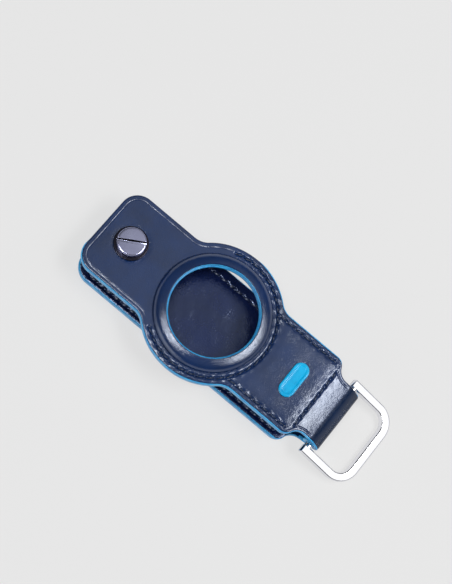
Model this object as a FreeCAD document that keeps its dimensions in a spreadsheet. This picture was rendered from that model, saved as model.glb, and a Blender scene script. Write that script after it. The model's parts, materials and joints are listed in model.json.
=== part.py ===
import FreeCAD, Part
import math
import os
import re

import Sketcher

# Tracker tag holder: two leather straps joined by a neck that folds round the bar of a metal
# ring, and closed at the tab by a slotted screw. A round tag lies between the straps, under
# the bezel of the front strap's window.
# Origin: on the floor, under the window's centre. +X runs to the ring, +Z is up. Millimetres.

# Each driving size: name, value, what it measures. Angles are in degrees.
SIZES = [
    ("strap_width", 26.6, "front strap across its painted edges"),
    ("back_margin", 2.0, "back strap wider than the front strap"),
    ("tab_reach", 38.7, "window centre to the end of the tab"),
    ("back_setback", 0.6, "end of the back strap short of the tab's end"),
    ("plate_reach", 37.0, "window centre to where the plate turns into the neck"),
    ("tab_corner", 5.5, "corner radius of the tab and of the back strap"),
    ("bulge_blend", 5.5, "hollow corner between strap and round part"),
    ("shoulder_radius", 3.4, "both curves of the shoulder between plate and neck"),
    ("neck_inset", 3.7, "each side of the neck in from the strap's side"),
    ("edge_coat", 0.25, "edge paint"),
    ("coat_lift", 0.15, "edge paint of the back strap above the floor"),
    ("leather", 1.5, "outer leather of both straps"),
    ("front_lining", 1.2, "lining of the front strap"),
    ("back_lining", 1.3, "lining of the back strap"),
    ("layer_gap", 5.6, "room between the two straps"),
    ("window_radius", 12.8, "clear window"),
    ("bezel_width", 3.4, "window to the outer wall of the bezel"),
    ("bezel_flange", 3.3, "flat rim between the bezel and the edge of the round part"),
    ("bezel_foot", 0.4, "hollow curve at the foot of the bezel"),
    ("bezel_wall", 0.3, "upright part of the bezel's wall"),
    ("bezel_round", 1.5, "round shoulder of the bezel"),
    ("bezel_under_round", 0.6, "round inside corner of the bezel"),
    ("bezel_lining", 0.6, "lining inside the bezel"),
    ("lip_drop", 0.3, "fall from the bezel's crest to the window"),
    ("neck_bend", 3.0, "middle of the leather where the necks bend"),
    ("neck_slope_angle", 40.0, "fall of the front neck, degrees"),
    ("back_slope_angle", 50.0, "rise of the back neck, degrees"),
    ("neck_run", 3.85, "plate to the line where the front neck flexes"),
    ("flex_gap", 0.27, "room between the end of the front neck and the loop"),
    ("bar_fall_angle", 46.0, "fall from the flex line to the ring's bar, degrees"),
    ("bar_diameter", 2.5, "ring's bar"),
    ("loop_clearance", 0.1, "room round the bar in its loop"),
    ("loop_leather", 1.3, "leather of the loop round the bar"),
    ("ring_reach", 16.0, "middle of the bar to the ring's far side"),
    ("ring_wire", 2.5, "ring's section, both ways"),
    ("ring_side_gap", 0.8, "room in the ring at each side of the neck"),
    ("ring_corner", 6.5, "outer radius of the ring's far corners"),
    ("ring_edge", 0.5, "rounded edges of the ring"),
    ("rest_gap", 0.02, "ring's far side above the floor"),
    ("screw_inset", 9.5, "end of the tab to the screw"),
    ("head_diameter", 8.2, "screw head"),
    ("head_height", 2.2, "screw head"),
    ("head_edge", 0.45, "rounded edge of the screw head"),
    ("slot_width", 1.4, "slot in the screw head"),
    ("slot_depth", 1.1, "slot in the screw head"),
    ("slot_angle", 32.0, "direction of the slot from +X, degrees"),
    ("shank_diameter", 3.4, "screw shank"),
    ("shank_grip", 3.5, "how far the shank reaches into the post"),
    ("shank_point", 0.4, "chamfer at the shank's end"),
    ("shank_clearance", 0.3, "room round the shank"),
    ("washer_margin", 0.75, "washer past the screw head all round"),
    ("washer_thickness", 0.5, "washer under the screw head"),
    ("barrel_wall", 0.7, "wall of the screw post's barrel"),
    ("cap_rim", 1.8, "flush cap past the barrel all round"),
    ("cap_thickness", 0.9, "flush cap of the screw post"),
    ("post_clearance", 0.1, "room round the post"),
    ("seat_gap", 0.1, "post's mouth below the front lining"),
    ("thread_relief", 0.6, "bore of the post below the shank's end"),
    ("stitch_length", 2.1, "one stitch"),
    ("stitch_gap", 0.65, "between two stitches"),
    ("stitch_width", 0.6, "one stitch"),
    ("stitch_height", 0.25, "one stitch above the leather"),
    ("bezel_stitch_offset", 1.35, "circle of stitches from the foot of the bezel"),
    ("bezel_stitch_start_angle", 105.0, "first stitch of that circle from +X, degrees"),
    ("bezel_stitch_sweep_angle", 235.0, "arc of that circle that is sewn, degrees"),
    ("plate_stitch_inset", 1.85, "stitches from the plate's sides"),
    ("plate_end_inset", 0.7, "end row of stitches from the neck"),
    ("back_stitch_inset", 2.4, "stitches from the back strap's edge"),
    ("badge_inset", 8.5, "middle of the badge to the plate's end"),
    ("badge_length", 11.0, "badge, across the strap"),
    ("badge_width", 4.6, "badge, along the strap"),
    ("badge_thickness", 0.9, "badge above the leather"),
    ("badge_edge", 0.35, "rounded edge of the badge"),
    ("prong_diameter", 1.0, "two prongs behind the badge"),
    ("prong_inset", 2.5, "each prong from the badge's end"),
    ("prong_gap", 0.2, "prongs short of the leather's underside"),
    ("prong_clearance", 0.05, "room round the prongs"),
    ("cut_overrun", 2.0, "how far cutting shapes run past the leather"),
]

NAMES = [row[0] for row in SIZES]
NAME_PATTERN = re.compile(r"\b(" + "|".join(NAMES) + r")\b")

doc = FreeCAD.newDocument("tag_holder")
sheet = doc.addObject("Spreadsheet::Sheet", "Sizes")
for line, (name, number, meaning) in enumerate(SIZES, start=1):
    sheet.set("A%d" % line, meaning)
    sheet.set("B%d" % line, str(number))
    sheet.setAlias("B%d" % line, name)
doc.recompute()


def bound(text):
    """Turn a formula in size names into one that reads the sheet."""
    return NAME_PATTERN.sub(r"Sizes.\1", text)


def value(text):
    """Give the present value of a formula in size names."""
    return float(sheet.evalExpression(bound(text)))


def tie(item, **formulas):
    """Bind properties of an object to formulas; a double underscore stands for a dot."""
    for path, text in formulas.items():
        item.setExpression(path.replace("__", "."), bound(text))


# Heights of the layers
BACK_TOP = "(leather + back_lining)"
FRONT_LOW = "(leather + back_lining + layer_gap)"
FRONT_SEAM = "(leather + back_lining + layer_gap + front_lining)"
FRONT_TOP = "(2 * leather + back_lining + layer_gap + front_lining)"
FRONT_THICK = "(leather + front_lining)"
BEZEL_RISE = "(bezel_foot + bezel_wall + bezel_round)"
CREST = "(%s + %s)" % (FRONT_TOP, BEZEL_RISE)
LIP_TOP = "(%s - lip_drop)" % CREST
LIP_SEAM = "(%s - leather)" % CREST
LIP_LOW = "(%s - bezel_lining)" % LIP_SEAM
HEAD_LOW = "(%s + washer_thickness)" % FRONT_TOP
HEAD_TOP = "(%s + head_height)" % HEAD_LOW
BARREL_TOP = "(%s - seat_gap)" % FRONT_LOW
SHANK_END = "(%s - shank_grip)" % BARREL_TOP

# Radii and widths
WINDOW_CUT = "(window_radius + edge_coat)"
BEZEL_RADIUS = "(window_radius + bezel_width)"
BEZEL_OUTER = "(%s + bezel_foot)" % BEZEL_RADIUS
BEZEL_INNER = "(%s - leather)" % BEZEL_RADIUS
BULGE_RADIUS = "(%s + bezel_flange)" % BEZEL_OUTER
SEAM_RADIUS = "(%s + bezel_stitch_offset)" % BEZEL_OUTER
LOOP_BORE = "(bar_diameter / 2 + loop_clearance)"
LOOP_OUTER = "(bar_diameter / 2 + loop_clearance + loop_leather)"
SHANK_HOLE = "(shank_diameter / 2 + shank_clearance)"
BARREL_RADIUS = "(%s + barrel_wall)" % SHANK_HOLE
CAP_RADIUS = "(%s + cap_rim)" % BARREL_RADIUS
WASHER_RADIUS = "(head_diameter / 2 + washer_margin)"
POST_HOLE = "(%s + post_clearance)" % BARREL_RADIUS
CAP_HOLE = "(%s + post_clearance)" % CAP_RADIUS
BACK_WIDTH = "(strap_width + back_margin)"
NECK_HALF = "(strap_width / 2 - neck_inset)"
RING_OPENING = "(2 * (%s + ring_side_gap))" % NECK_HALF
PRONG_SIDE = "(badge_length / 2 - prong_inset)"
PRONG_DEPTH = "(leather - prong_gap)"

# Places along the holder
BACK_REACH = "(tab_reach - back_setback)"
SCREW_REACH = "(tab_reach - screw_inset)"
BADGE_REACH = "(plate_reach - badge_inset)"
STITCH_PITCH = "(stitch_length + stitch_gap)"

# Where the front neck flexes, and the ring's bar below that line
NECK_MID = "(%s + leather / 2)" % FRONT_SEAM
HINGE_REACH = "(plate_reach + neck_run)"
HINGE_RUN = "(neck_run - neck_bend * sin(neck_slope_angle))"
HINGE_HEIGHT = "(%s - neck_bend * (1 - cos(neck_slope_angle)) - %s * tan(neck_slope_angle))" % (
    NECK_MID, HINGE_RUN)
BAR_DISTANCE = "(%s + leather / 2 + flex_gap)" % LOOP_OUTER
BAR_REACH = "(%s + %s * cos(bar_fall_angle))" % (HINGE_REACH, BAR_DISTANCE)
BAR_HEIGHT = "(%s - %s * sin(bar_fall_angle))" % (HINGE_HEIGHT, BAR_DISTANCE)
NECK_END = "(%s + %s + cut_overrun)" % (BAR_REACH, LOOP_OUTER)


def arc(start, end, radius, side):
    """Make the short arc from start to end that turns to the left or to the right."""
    chord = end.sub(start)
    half = chord.Length / 2
    rise = math.sqrt(max(radius * radius - half * half, 0))
    across = FreeCAD.Vector(-chord.y, chord.x, 0).normalize()
    reach = rise if side == "left" else -rise
    centre = start.add(end).multiply(0.5).add(across.multiply(reach))
    first, last = (start, end) if side == "left" else (end, start)
    angles = [math.atan2(point.y - centre.y, point.x - centre.x) for point in (first, last)]
    if angles[1] < angles[0]:
        angles[1] += 2 * math.pi
    circle = Part.Circle(centre, FreeCAD.Vector(0, 0, 1), radius)
    return Part.ArcOfCircle(circle, angles[0], angles[1])


def pin(sketch, point, across, up):
    """Hold one point of a sketch at two formulas, measured from the sketch's origin.

    A sketch numbers its own X axis -1 and its Y axis -2; point 1 of the X axis is the origin.
    """
    for kind, axis, text in (("DistanceX", -2, across), ("DistanceY", -1, up)):
        if text == "0":
            sketch.addConstraint(Sketcher.Constraint("PointOnObject", *point, axis))
        else:
            rule = Sketcher.Constraint(kind, -1, 1, *point, value(text))
            sketch.setExpression("Constraints[%d]" % sketch.addConstraint(rule), bound(text))


def trace(sketch, path):
    """Draw a closed outline. Each step is (x, y) for a line or (x, y, radius, side) for an arc."""
    points = [FreeCAD.Vector(value(step[0]), value(step[1]), 0) for step in path]
    heads = []
    tails = []
    for place, step in enumerate(path):
        start, end = points[place - 1], points[place]
        turns_right = len(step) > 2 and step[3] == "right"
        if len(step) > 2:
            edge = sketch.addGeometry(arc(start, end, value(step[2]), step[3]), False)
        else:
            edge = sketch.addGeometry(Part.LineSegment(start, end), False)
        tails.append((edge, 2 if turns_right else 1))
        heads.append((edge, 1 if turns_right else 2))
    for place, step in enumerate(path):
        sketch.addConstraint(Sketcher.Constraint("Coincident", *heads[place - 1], *tails[place]))
        pin(sketch, heads[place], step[0], step[1])
        if len(step) > 2:
            rule = Sketcher.Constraint("Radius", heads[place][0], value(step[2]))
            sketch.setExpression("Constraints[%d]" % sketch.addConstraint(rule), bound(step[2]))


def mirrored(path):
    """Follow an upper half outline by its mirror image below the X axis."""
    lower = []
    for place in range(len(path) - 1, -1, -1):
        step = path[place]
        back = path[place + 1][2:] if place + 1 < len(path) else ()
        lower.append((step[0], "-(%s)" % step[1], *back))
    return path + lower


def upright(angle_axis, degrees):
    """Give the placement that turns about one axis through the origin."""
    return FreeCAD.Placement(FreeCAD.Vector(), FreeCAD.Rotation(angle_axis, degrees))


X_DIRECTION = FreeCAD.Vector(1, 0, 0)
Y_DIRECTION = FreeCAD.Vector(0, 1, 0)
Z_DIRECTION = FreeCAD.Vector(0, 0, 1)
SIDE_VIEW = upright(X_DIRECTION, 90)


def outline(name, path, placement=FreeCAD.Placement()):
    """Draw a closed outline as a sketch of its own."""
    sketch = doc.addObject("Sketcher::SketchObject", name)
    trace(sketch, path)
    sketch.Placement = placement
    return sketch


def inset(name, source):
    """Draw an outline inside another one, in by the thickness of the edge paint."""
    inner = doc.addObject("Part::Offset2D", name)
    inner.Source = source
    tie(inner, Value="-edge_coat")
    return inner


def slab(name, base, low, height):
    """Raise an outline to a flat slab."""
    solid = doc.addObject("Part::Extrusion", name)
    solid.Base = base
    solid.DirMode = "Custom"
    solid.Dir = Z_DIRECTION
    solid.Solid = True
    tie(solid, LengthFwd=height, Placement__Base__z=low)
    return solid


def across(name, base, width):
    """Draw a side-view outline out over a width, half to each side."""
    solid = doc.addObject("Part::Extrusion", name)
    solid.Base = base
    solid.DirMode = "Custom"
    solid.Dir = Y_DIRECTION
    solid.Solid = True
    solid.Symmetric = True
    tie(solid, LengthFwd=width)
    return solid


def cylinder(name, radius, low, height, reach="0", aside="0"):
    """Make an upright cylinder at a reach along X and aside along Y."""
    solid = doc.addObject("Part::Cylinder", name)
    tie(solid, Radius=radius, Height=height, Placement__Base__z=low)
    tie(solid, Placement__Base__x=reach, Placement__Base__y=aside)
    return solid


def bar_cylinder(name, radius):
    """Make a cylinder along the ring's bar, as wide as the strap."""
    solid = doc.addObject("Part::Cylinder", name)
    solid.Placement = upright(X_DIRECTION, 90)
    tie(solid, Radius=radius, Height="strap_width", Placement__Base__x=BAR_REACH)
    tie(solid, Placement__Base__y="strap_width / 2", Placement__Base__z=BAR_HEIGHT)
    return solid


def cut(name, base, tool):
    """Take one solid away from another."""
    result = doc.addObject("Part::Cut", name)
    result.Base = base
    result.Tool = tool
    result.Refine = True
    return result


def common(name, base, tool):
    """Keep what two solids share."""
    result = doc.addObject("Part::Common", name)
    result.Base = base
    result.Tool = tool
    result.Refine = True
    return result


def fuse(name, *solids):
    """Join solids into one."""
    result = doc.addObject("Part::MultiFuse", name)
    result.Shapes = list(solids)
    result.Refine = True
    return result


def plane(body, role):
    """Find one of a body's origin planes."""
    return [item for item in body.Origin.OriginFeatures if item.Role == role][0]


def body_sketch(body, name, role, path):
    """Draw a closed outline on one of a body's origin planes."""
    sketch = body.newObject("Sketcher::SketchObject", name)
    sketch.AttachmentSupport = (plane(body, role), [""])
    sketch.MapMode = "FlatFace"
    trace(sketch, path)
    return sketch


def turned(name, path):
    """Turn a half section about the Z axis, as on a lathe."""
    body = doc.addObject("PartDesign::Body", name)
    sketch = body_sketch(body, name + "_section", "XZ_Plane", path)
    turn = body.newObject("PartDesign::Revolution", name + "_turn")
    turn.Profile = sketch
    turn.ReferenceAxis = (sketch, ["V_Axis"])
    turn.Angle = 360
    return body


def rectangle(low_x, high_x, low_y, high_y):
    """Give the outline of a rectangle."""
    return [(low_x, low_y), (high_x, low_y), (high_x, high_y), (low_x, high_y)]


# Plan outlines of the two straps, each with its neck
def shoulder(width):
    """Give the upper shoulder between plate and neck, from the neck's end to the plate's side."""
    step = "((%s / 2 - %s) / 2)" % (width, NECK_HALF)
    run = "sqrt(shoulder_radius ^ 2 - (shoulder_radius - %s) ^ 2)" % step
    return [
        (NECK_END, NECK_HALF),
        ("plate_reach + " + run, NECK_HALF),
        ("plate_reach", "%s / 2 - %s" % (width, step), "shoulder_radius", "right"),
        ("plate_reach - " + run, "%s / 2" % width, "shoulder_radius", "left"),
    ]


def strap_end(width, reach):
    """Give the upper rounded corner at the strap's free end."""
    return [
        ("-%s + tab_corner" % reach, "%s / 2" % width),
        ("-%s" % reach, "%s / 2 - tab_corner" % width, "tab_corner", "left"),
    ]


def bulge():
    """Give the upper half of the round part, blended into the strap on both sides."""
    run = "sqrt((%s + bulge_blend) ^ 2 - (strap_width / 2 + bulge_blend) ^ 2)" % BULGE_RADIUS
    share = "%s / (%s + bulge_blend)" % (BULGE_RADIUS, BULGE_RADIUS)
    meet_x = "%s * %s" % (run, share)
    meet_y = "(strap_width / 2 + bulge_blend) * %s" % share
    return [
        (run, "strap_width / 2"),
        (meet_x, meet_y, "bulge_blend", "right"),
        ("-" + meet_x, meet_y, BULGE_RADIUS, "left"),
        ("-" + run, "strap_width / 2", "bulge_blend", "right"),
    ]


front_path = shoulder("strap_width") + bulge() + strap_end("strap_width", "tab_reach")
front_outline = outline("front_outline", mirrored(front_path))
front_core = inset("front_core", front_outline)
back_path = shoulder(BACK_WIDTH) + strap_end(BACK_WIDTH, BACK_REACH)
back_outline = outline("back_outline", mirrored(back_path))
back_core = inset("back_core", back_outline)

# Everything on the window's side of the necks
strap_side = doc.addObject("Part::Box", "strap_side")
tie(strap_side, Length="tab_reach + cut_overrun + plate_reach", Height=CREST)
tie(strap_side, Width="2 * (%s + cut_overrun)" % BULGE_RADIUS)
tie(strap_side, Placement__Base__x="-tab_reach - cut_overrun")
tie(strap_side, Placement__Base__y="-%s - cut_overrun" % BULGE_RADIUS)

# Front strap
bezel_path = [
    (WINDOW_CUT, LIP_SEAM),
    ("%s - bezel_under_round" % BEZEL_INNER, LIP_SEAM),
    (BEZEL_INNER, "%s - bezel_under_round" % LIP_SEAM, "bezel_under_round", "right"),
    (BEZEL_INNER, FRONT_SEAM),
    (BEZEL_OUTER, FRONT_SEAM),
    (BEZEL_OUTER, FRONT_TOP),
    (BEZEL_RADIUS, "%s + bezel_foot" % FRONT_TOP, "bezel_foot", "right"),
    (BEZEL_RADIUS, "%s - bezel_round" % CREST),
    ("%s - bezel_round" % BEZEL_RADIUS, CREST, "bezel_round", "left"),
]
CREST_RUN = "(%s - bezel_round - %s)" % (BEZEL_RADIUS, WINDOW_CUT)
CREST_CURVE = "(%s ^ 2 + lip_drop ^ 2) / (2 * lip_drop)" % CREST_RUN
bezel_path.append((WINDOW_CUT, LIP_TOP, CREST_CURVE, "left"))
bezel_lining_path = [
    (WINDOW_CUT, LIP_LOW),
    ("%s - bezel_lining" % BEZEL_INNER, LIP_LOW),
    ("%s - bezel_lining" % BEZEL_INNER, FRONT_LOW),
    (BEZEL_OUTER, FRONT_LOW),
    (BEZEL_OUTER, FRONT_SEAM),
    (BEZEL_INNER, FRONT_SEAM),
    (BEZEL_INNER, "%s - bezel_under_round" % LIP_SEAM),
    ("%s - bezel_under_round" % BEZEL_INNER, LIP_SEAM, "bezel_under_round", "left"),
    (WINDOW_CUT, LIP_SEAM),
]
bezel_hole = cylinder("bezel_hole", BEZEL_OUTER, FRONT_LOW, FRONT_THICK)
screw_hole = cylinder("screw_hole", SHANK_HOLE, FRONT_LOW, FRONT_THICK, "-" + SCREW_REACH)
prong_holes = [
    cylinder("prong_hole", "prong_diameter / 2 + prong_clearance", FRONT_SEAM, "leather",
             BADGE_REACH, side + PRONG_SIDE)
    for side in ("", "-")
]

front_sheet = common("front_sheet", slab("front_slab", front_core, FRONT_SEAM, "leather"), strap_side)
front_flat = cut("front_flat", front_sheet, bezel_hole)
front_raised = fuse("front_raised", front_flat, turned("bezel", bezel_path))
front_leather = cut("front_leather", front_raised, fuse("front_holes", screw_hole, *prong_holes))

lining_slab = slab("lining_slab", front_core, FRONT_LOW, "front_lining")
lining_sheet = common("lining_sheet", lining_slab, strap_side)
lining_flat = cut("lining_flat", lining_sheet, bezel_hole)
lining_raised = fuse("lining_raised", lining_flat, turned("bezel_lining_ring", bezel_lining_path))
front_lining_piece = cut("front_lining_piece", lining_raised, screw_hole)

front_full = slab("front_full", front_outline, FRONT_LOW, FRONT_THICK)
front_inner = slab("front_inner", front_core, FRONT_LOW, FRONT_THICK)
front_rim = cut("front_rim", front_full, front_inner)
front_edge_coat = common("front_edge_coat", front_rim, strap_side)
window_edge_coat = turned("window_edge_coat", rectangle("window_radius", WINDOW_CUT, LIP_LOW, LIP_TOP))

# Front neck: bends down from the plate and ends in a round nose on the line where it flexes
OUTER_BEND = "(neck_bend + leather / 2)"
INNER_BEND = "(neck_bend - leather / 2)"
NOSE = "leather / 2"
front_neck_path = [
    ("plate_reach", FRONT_SEAM),
    ("plate_reach + %s * sin(neck_slope_angle)" % INNER_BEND,
     "%s - neck_bend + %s * cos(neck_slope_angle)" % (NECK_MID, INNER_BEND), INNER_BEND, "right"),
    ("%s - %s * sin(neck_slope_angle)" % (HINGE_REACH, NOSE),
     "%s - %s * cos(neck_slope_angle)" % (HINGE_HEIGHT, NOSE)),
    ("%s + %s * cos(neck_slope_angle)" % (HINGE_REACH, NOSE),
     "%s - %s * sin(neck_slope_angle)" % (HINGE_HEIGHT, NOSE), NOSE, "left"),
    ("%s + %s * sin(neck_slope_angle)" % (HINGE_REACH, NOSE),
     "%s + %s * cos(neck_slope_angle)" % (HINGE_HEIGHT, NOSE), NOSE, "left"),
    ("plate_reach + %s * sin(neck_slope_angle)" % OUTER_BEND,
     "%s - neck_bend + %s * cos(neck_slope_angle)" % (NECK_MID, OUTER_BEND)),
    ("plate_reach", FRONT_TOP, OUTER_BEND, "left"),
]
front_neck_side = outline("front_neck_side", front_neck_path, SIDE_VIEW)
front_neck_bar = across("front_neck_bar", front_neck_side, "strap_width")
front_tall = slab("front_tall", front_outline, "0", FRONT_TOP)
front_tall_inner = slab("front_tall_inner", front_core, "0", FRONT_TOP)
front_neck = common("front_neck", front_neck_bar, front_tall_inner)
front_neck_rim = cut("front_neck_rim", front_neck_bar, front_tall_inner)
front_neck_coat = common("front_neck_coat", front_neck_rim, front_tall)

# Back strap
cap_seat = cylinder("cap_seat", CAP_HOLE, "0", "cap_thickness", "-" + SCREW_REACH)
post_hole = cylinder("post_hole", POST_HOLE, "0", BACK_TOP, "-" + SCREW_REACH)
back_sheet = common("back_sheet", slab("back_slab", back_core, "0", "leather"), strap_side)
back_leather = cut("back_leather", back_sheet, fuse("post_seat", cap_seat, post_hole))
back_inside = common("back_inside", slab("inside_slab", back_core, "leather", "back_lining"), strap_side)
back_lining_piece = cut("back_lining_piece", back_inside, post_hole)
back_full = slab("back_full", back_outline, "coat_lift", "%s - coat_lift" % BACK_TOP)
back_inner = slab("back_inner", back_core, "0", BACK_TOP)
back_rim = cut("back_rim", back_full, back_inner)
back_edge_coat = common("back_edge_coat", back_rim, strap_side)

# Loop: the back strap's neck rises to the bar and wraps round it
BACK_MID = "(leather / 2 + neck_bend)"
RISE_X = "(plate_reach + neck_bend * sin(back_slope_angle))"
RISE_Z = "(%s - neck_bend * cos(back_slope_angle))" % BACK_MID
RISE_RUN = "((%s - %s) * cos(back_slope_angle) + (%s - %s) * sin(back_slope_angle))" % (
    BAR_REACH, RISE_X, BAR_HEIGHT, RISE_Z)
END_X = "(%s + %s * cos(back_slope_angle))" % (RISE_X, RISE_RUN)
END_Z = "(%s + %s * sin(back_slope_angle))" % (RISE_Z, RISE_RUN)
back_neck_path = [
    ("plate_reach", "0"),
    ("plate_reach + %s * sin(back_slope_angle)" % OUTER_BEND,
     "%s - %s * cos(back_slope_angle)" % (BACK_MID, OUTER_BEND), OUTER_BEND, "left"),
    ("%s + %s * sin(back_slope_angle)" % (END_X, NOSE), "%s - %s * cos(back_slope_angle)" % (END_Z, NOSE)),
    ("%s - %s * sin(back_slope_angle)" % (END_X, NOSE), "%s + %s * cos(back_slope_angle)" % (END_Z, NOSE)),
    ("plate_reach + %s * sin(back_slope_angle)" % INNER_BEND,
     "%s - %s * cos(back_slope_angle)" % (BACK_MID, INNER_BEND)),
    ("plate_reach", "leather", INNER_BEND, "right"),
]
back_neck_side = outline("back_neck_side", back_neck_path, SIDE_VIEW)
back_neck_bar = across("back_neck_bar", back_neck_side, "strap_width")
loop_wrap = fuse("loop_wrap", back_neck_bar, bar_cylinder("loop_round", LOOP_OUTER))
loop_open = cut("loop_open", loop_wrap, bar_cylinder("loop_bore", LOOP_BORE))
back_tall = slab("back_tall", back_outline, "coat_lift", FRONT_TOP)
back_tall_inner = slab("back_tall_inner", back_core, "0", FRONT_TOP)
ring_loop = common("ring_loop", loop_open, back_tall_inner)
loop_rim = cut("loop_rim", loop_open, back_tall_inner)
loop_edge_coat = common("loop_edge_coat", loop_rim, back_tall)

# Screw, washer and post, turned on the Z axis and set over the tab
washer = turned("screw_washer", rectangle(SHANK_HOLE, WASHER_RADIUS, FRONT_TOP, HEAD_LOW))
screw = turned("screw", [
    ("0", SHANK_END),
    ("shank_diameter / 2 - shank_point", SHANK_END),
    ("shank_diameter / 2", "%s + shank_point" % SHANK_END),
    ("shank_diameter / 2", HEAD_LOW),
    ("head_diameter / 2", HEAD_LOW),
    ("head_diameter / 2", "%s - head_edge" % HEAD_TOP),
    ("head_diameter / 2 - head_edge", HEAD_TOP, "head_edge", "left"),
    ("0", HEAD_TOP),
])
post = turned("screw_post", [
    ("0", "0"),
    (CAP_RADIUS, "0"),
    (CAP_RADIUS, "cap_thickness"),
    (BARREL_RADIUS, "cap_thickness"),
    (BARREL_RADIUS, BARREL_TOP),
    (SHANK_HOLE, BARREL_TOP),
    (SHANK_HOLE, "%s - thread_relief" % SHANK_END),
    ("0", "%s - thread_relief" % SHANK_END),
])
doc.recompute()
plain_screw_volume = screw.Shape.Volume
slot_half = "(slot_width / 2)"
slot_reach = "(head_diameter / 2 + cut_overrun)"
slot_sketch = body_sketch(screw, "slot_outline", "XY_Plane",
                          rectangle("-" + slot_reach, slot_reach, "-" + slot_half, slot_half))
tie(slot_sketch, AttachmentOffset__Base__z=HEAD_TOP)
slot = screw.newObject("PartDesign::Pocket", "slot")
slot.Profile = slot_sketch
tie(slot, Length="slot_depth")
screw.Placement = upright(Z_DIRECTION, value("slot_angle"))
tie(screw, Placement__Rotation__Angle="slot_angle")
for piece in (washer, screw, post):
    tie(piece, Placement__Base__x="-" + SCREW_REACH)

# Ring, drawn flat about the middle of its bar, then tilted until its far side is at the floor
ARM_OUT = "(%s / 2 + ring_wire)" % RING_OPENING
ARM_IN = "(%s / 2)" % RING_OPENING
FAR_IN = "(ring_reach - ring_wire)"
INNER_CORNER = "(ring_corner - ring_wire)"
BAR_WEST = "(-ring_wire / 2)"
d_ring = doc.addObject("PartDesign::Body", "d_ring")
ring_outer = body_sketch(d_ring, "ring_outer", "XY_Plane", mirrored([
    ("ring_reach", "%s - ring_corner" % ARM_OUT),
    ("ring_reach - ring_corner", ARM_OUT, "ring_corner", "left"),
    (BAR_WEST, ARM_OUT),
]))
tie(ring_outer, AttachmentOffset__Base__z="-ring_wire / 2")
ring_pad = d_ring.newObject("PartDesign::Pad", "ring_pad")
ring_pad.Profile = ring_outer
tie(ring_pad, Length="ring_wire")
doc.recompute()
ring_inner = body_sketch(d_ring, "ring_inner", "XY_Plane", mirrored([
    (FAR_IN, "%s - %s" % (ARM_IN, INNER_CORNER)),
    ("%s - %s" % (FAR_IN, INNER_CORNER), ARM_IN, INNER_CORNER, "left"),
    ("%s - cut_overrun" % BAR_WEST, ARM_IN),
]))
tie(ring_inner, AttachmentOffset__Base__z="ring_wire / 2")
ring_pocket = d_ring.newObject("PartDesign::Pocket", "ring_pocket")
ring_pocket.Profile = ring_inner
tie(ring_pocket, Length="ring_wire")
doc.recompute()
flat_edges = [
    "Edge%d" % place
    for place, edge in enumerate(ring_pocket.Shape.Edges, start=1)
    if all(abs(abs(vertex.Z) - value("ring_wire / 2")) < value("ring_edge") for vertex in edge.Vertexes)
    and abs(edge.CenterOfMass.z) > value("ring_wire / 2 - ring_edge")
]
ring_rounding = d_ring.newObject("PartDesign::Fillet", "ring_rounding")
ring_rounding.Base = (ring_pocket, flat_edges)
tie(ring_rounding, Radius="ring_edge")
doc.recompute()
bar = d_ring.newObject("PartDesign::AdditiveCylinder", "ring_bar")
bar.AttachmentSupport = (plane(d_ring, "XZ_Plane"), [""])
bar.MapMode = "FlatFace"
tie(bar, Radius="bar_diameter / 2", Height="%s + ring_wire" % RING_OPENING)
tie(bar, AttachmentOffset__Base__z="-(%s + ring_wire) / 2" % RING_OPENING)
TILT_REACH = "(ring_reach - ring_edge)"
TILT_DROP = "(ring_wire / 2 - ring_edge)"
TILT_FALL = "(%s - ring_edge - rest_gap)" % BAR_HEIGHT
RING_TILT = "asin(%s / sqrt(%s ^ 2 + %s ^ 2)) - atan(%s / %s)" % (
    TILT_FALL, TILT_REACH, TILT_DROP, TILT_DROP, TILT_REACH)
d_ring.Placement = upright(Y_DIRECTION, value(RING_TILT))
tie(d_ring, Placement__Rotation__Angle=RING_TILT)
tie(d_ring, Placement__Base__x=BAR_REACH, Placement__Base__z=BAR_HEIGHT)

# Badge: a blank bar with two prongs behind it
badge = doc.addObject("PartDesign::Body", "badge")
badge_end = "(badge_length / 2 - badge_width / 2)"
badge_outline = body_sketch(badge, "badge_outline", "XY_Plane", mirrored([
    ("badge_width / 2", badge_end),
    ("0", "badge_length / 2", "badge_width / 2", "left"),
    ("-badge_width / 2", badge_end, "badge_width / 2", "left"),
]))
badge_pad = badge.newObject("PartDesign::Pad", "badge_pad")
badge_pad.Profile = badge_outline
tie(badge_pad, Length="badge_thickness")
doc.recompute()
top_edges = [
    "Edge%d" % place
    for place, edge in enumerate(badge_pad.Shape.Edges, start=1)
    if all(vertex.Z > value("badge_thickness / 2") for vertex in edge.Vertexes)
]
badge_rounding = badge.newObject("PartDesign::Fillet", "badge_rounding")
badge_rounding.Base = (badge_pad, top_edges)
tie(badge_rounding, Radius="badge_edge")
doc.recompute()
for side in ("", "-"):
    prong = badge.newObject("PartDesign::AdditiveCylinder", "prong")
    prong.AttachmentSupport = (plane(badge, "XY_Plane"), [""])
    prong.MapMode = "FlatFace"
    tie(prong, Radius="prong_diameter / 2", Height=PRONG_DEPTH)
    tie(prong, AttachmentOffset__Base__z="-" + PRONG_DEPTH)
    tie(prong, AttachmentOffset__Base__y=side + PRONG_SIDE)
tie(badge, Placement__Base__x=BADGE_REACH, Placement__Base__z=FRONT_TOP)


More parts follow.
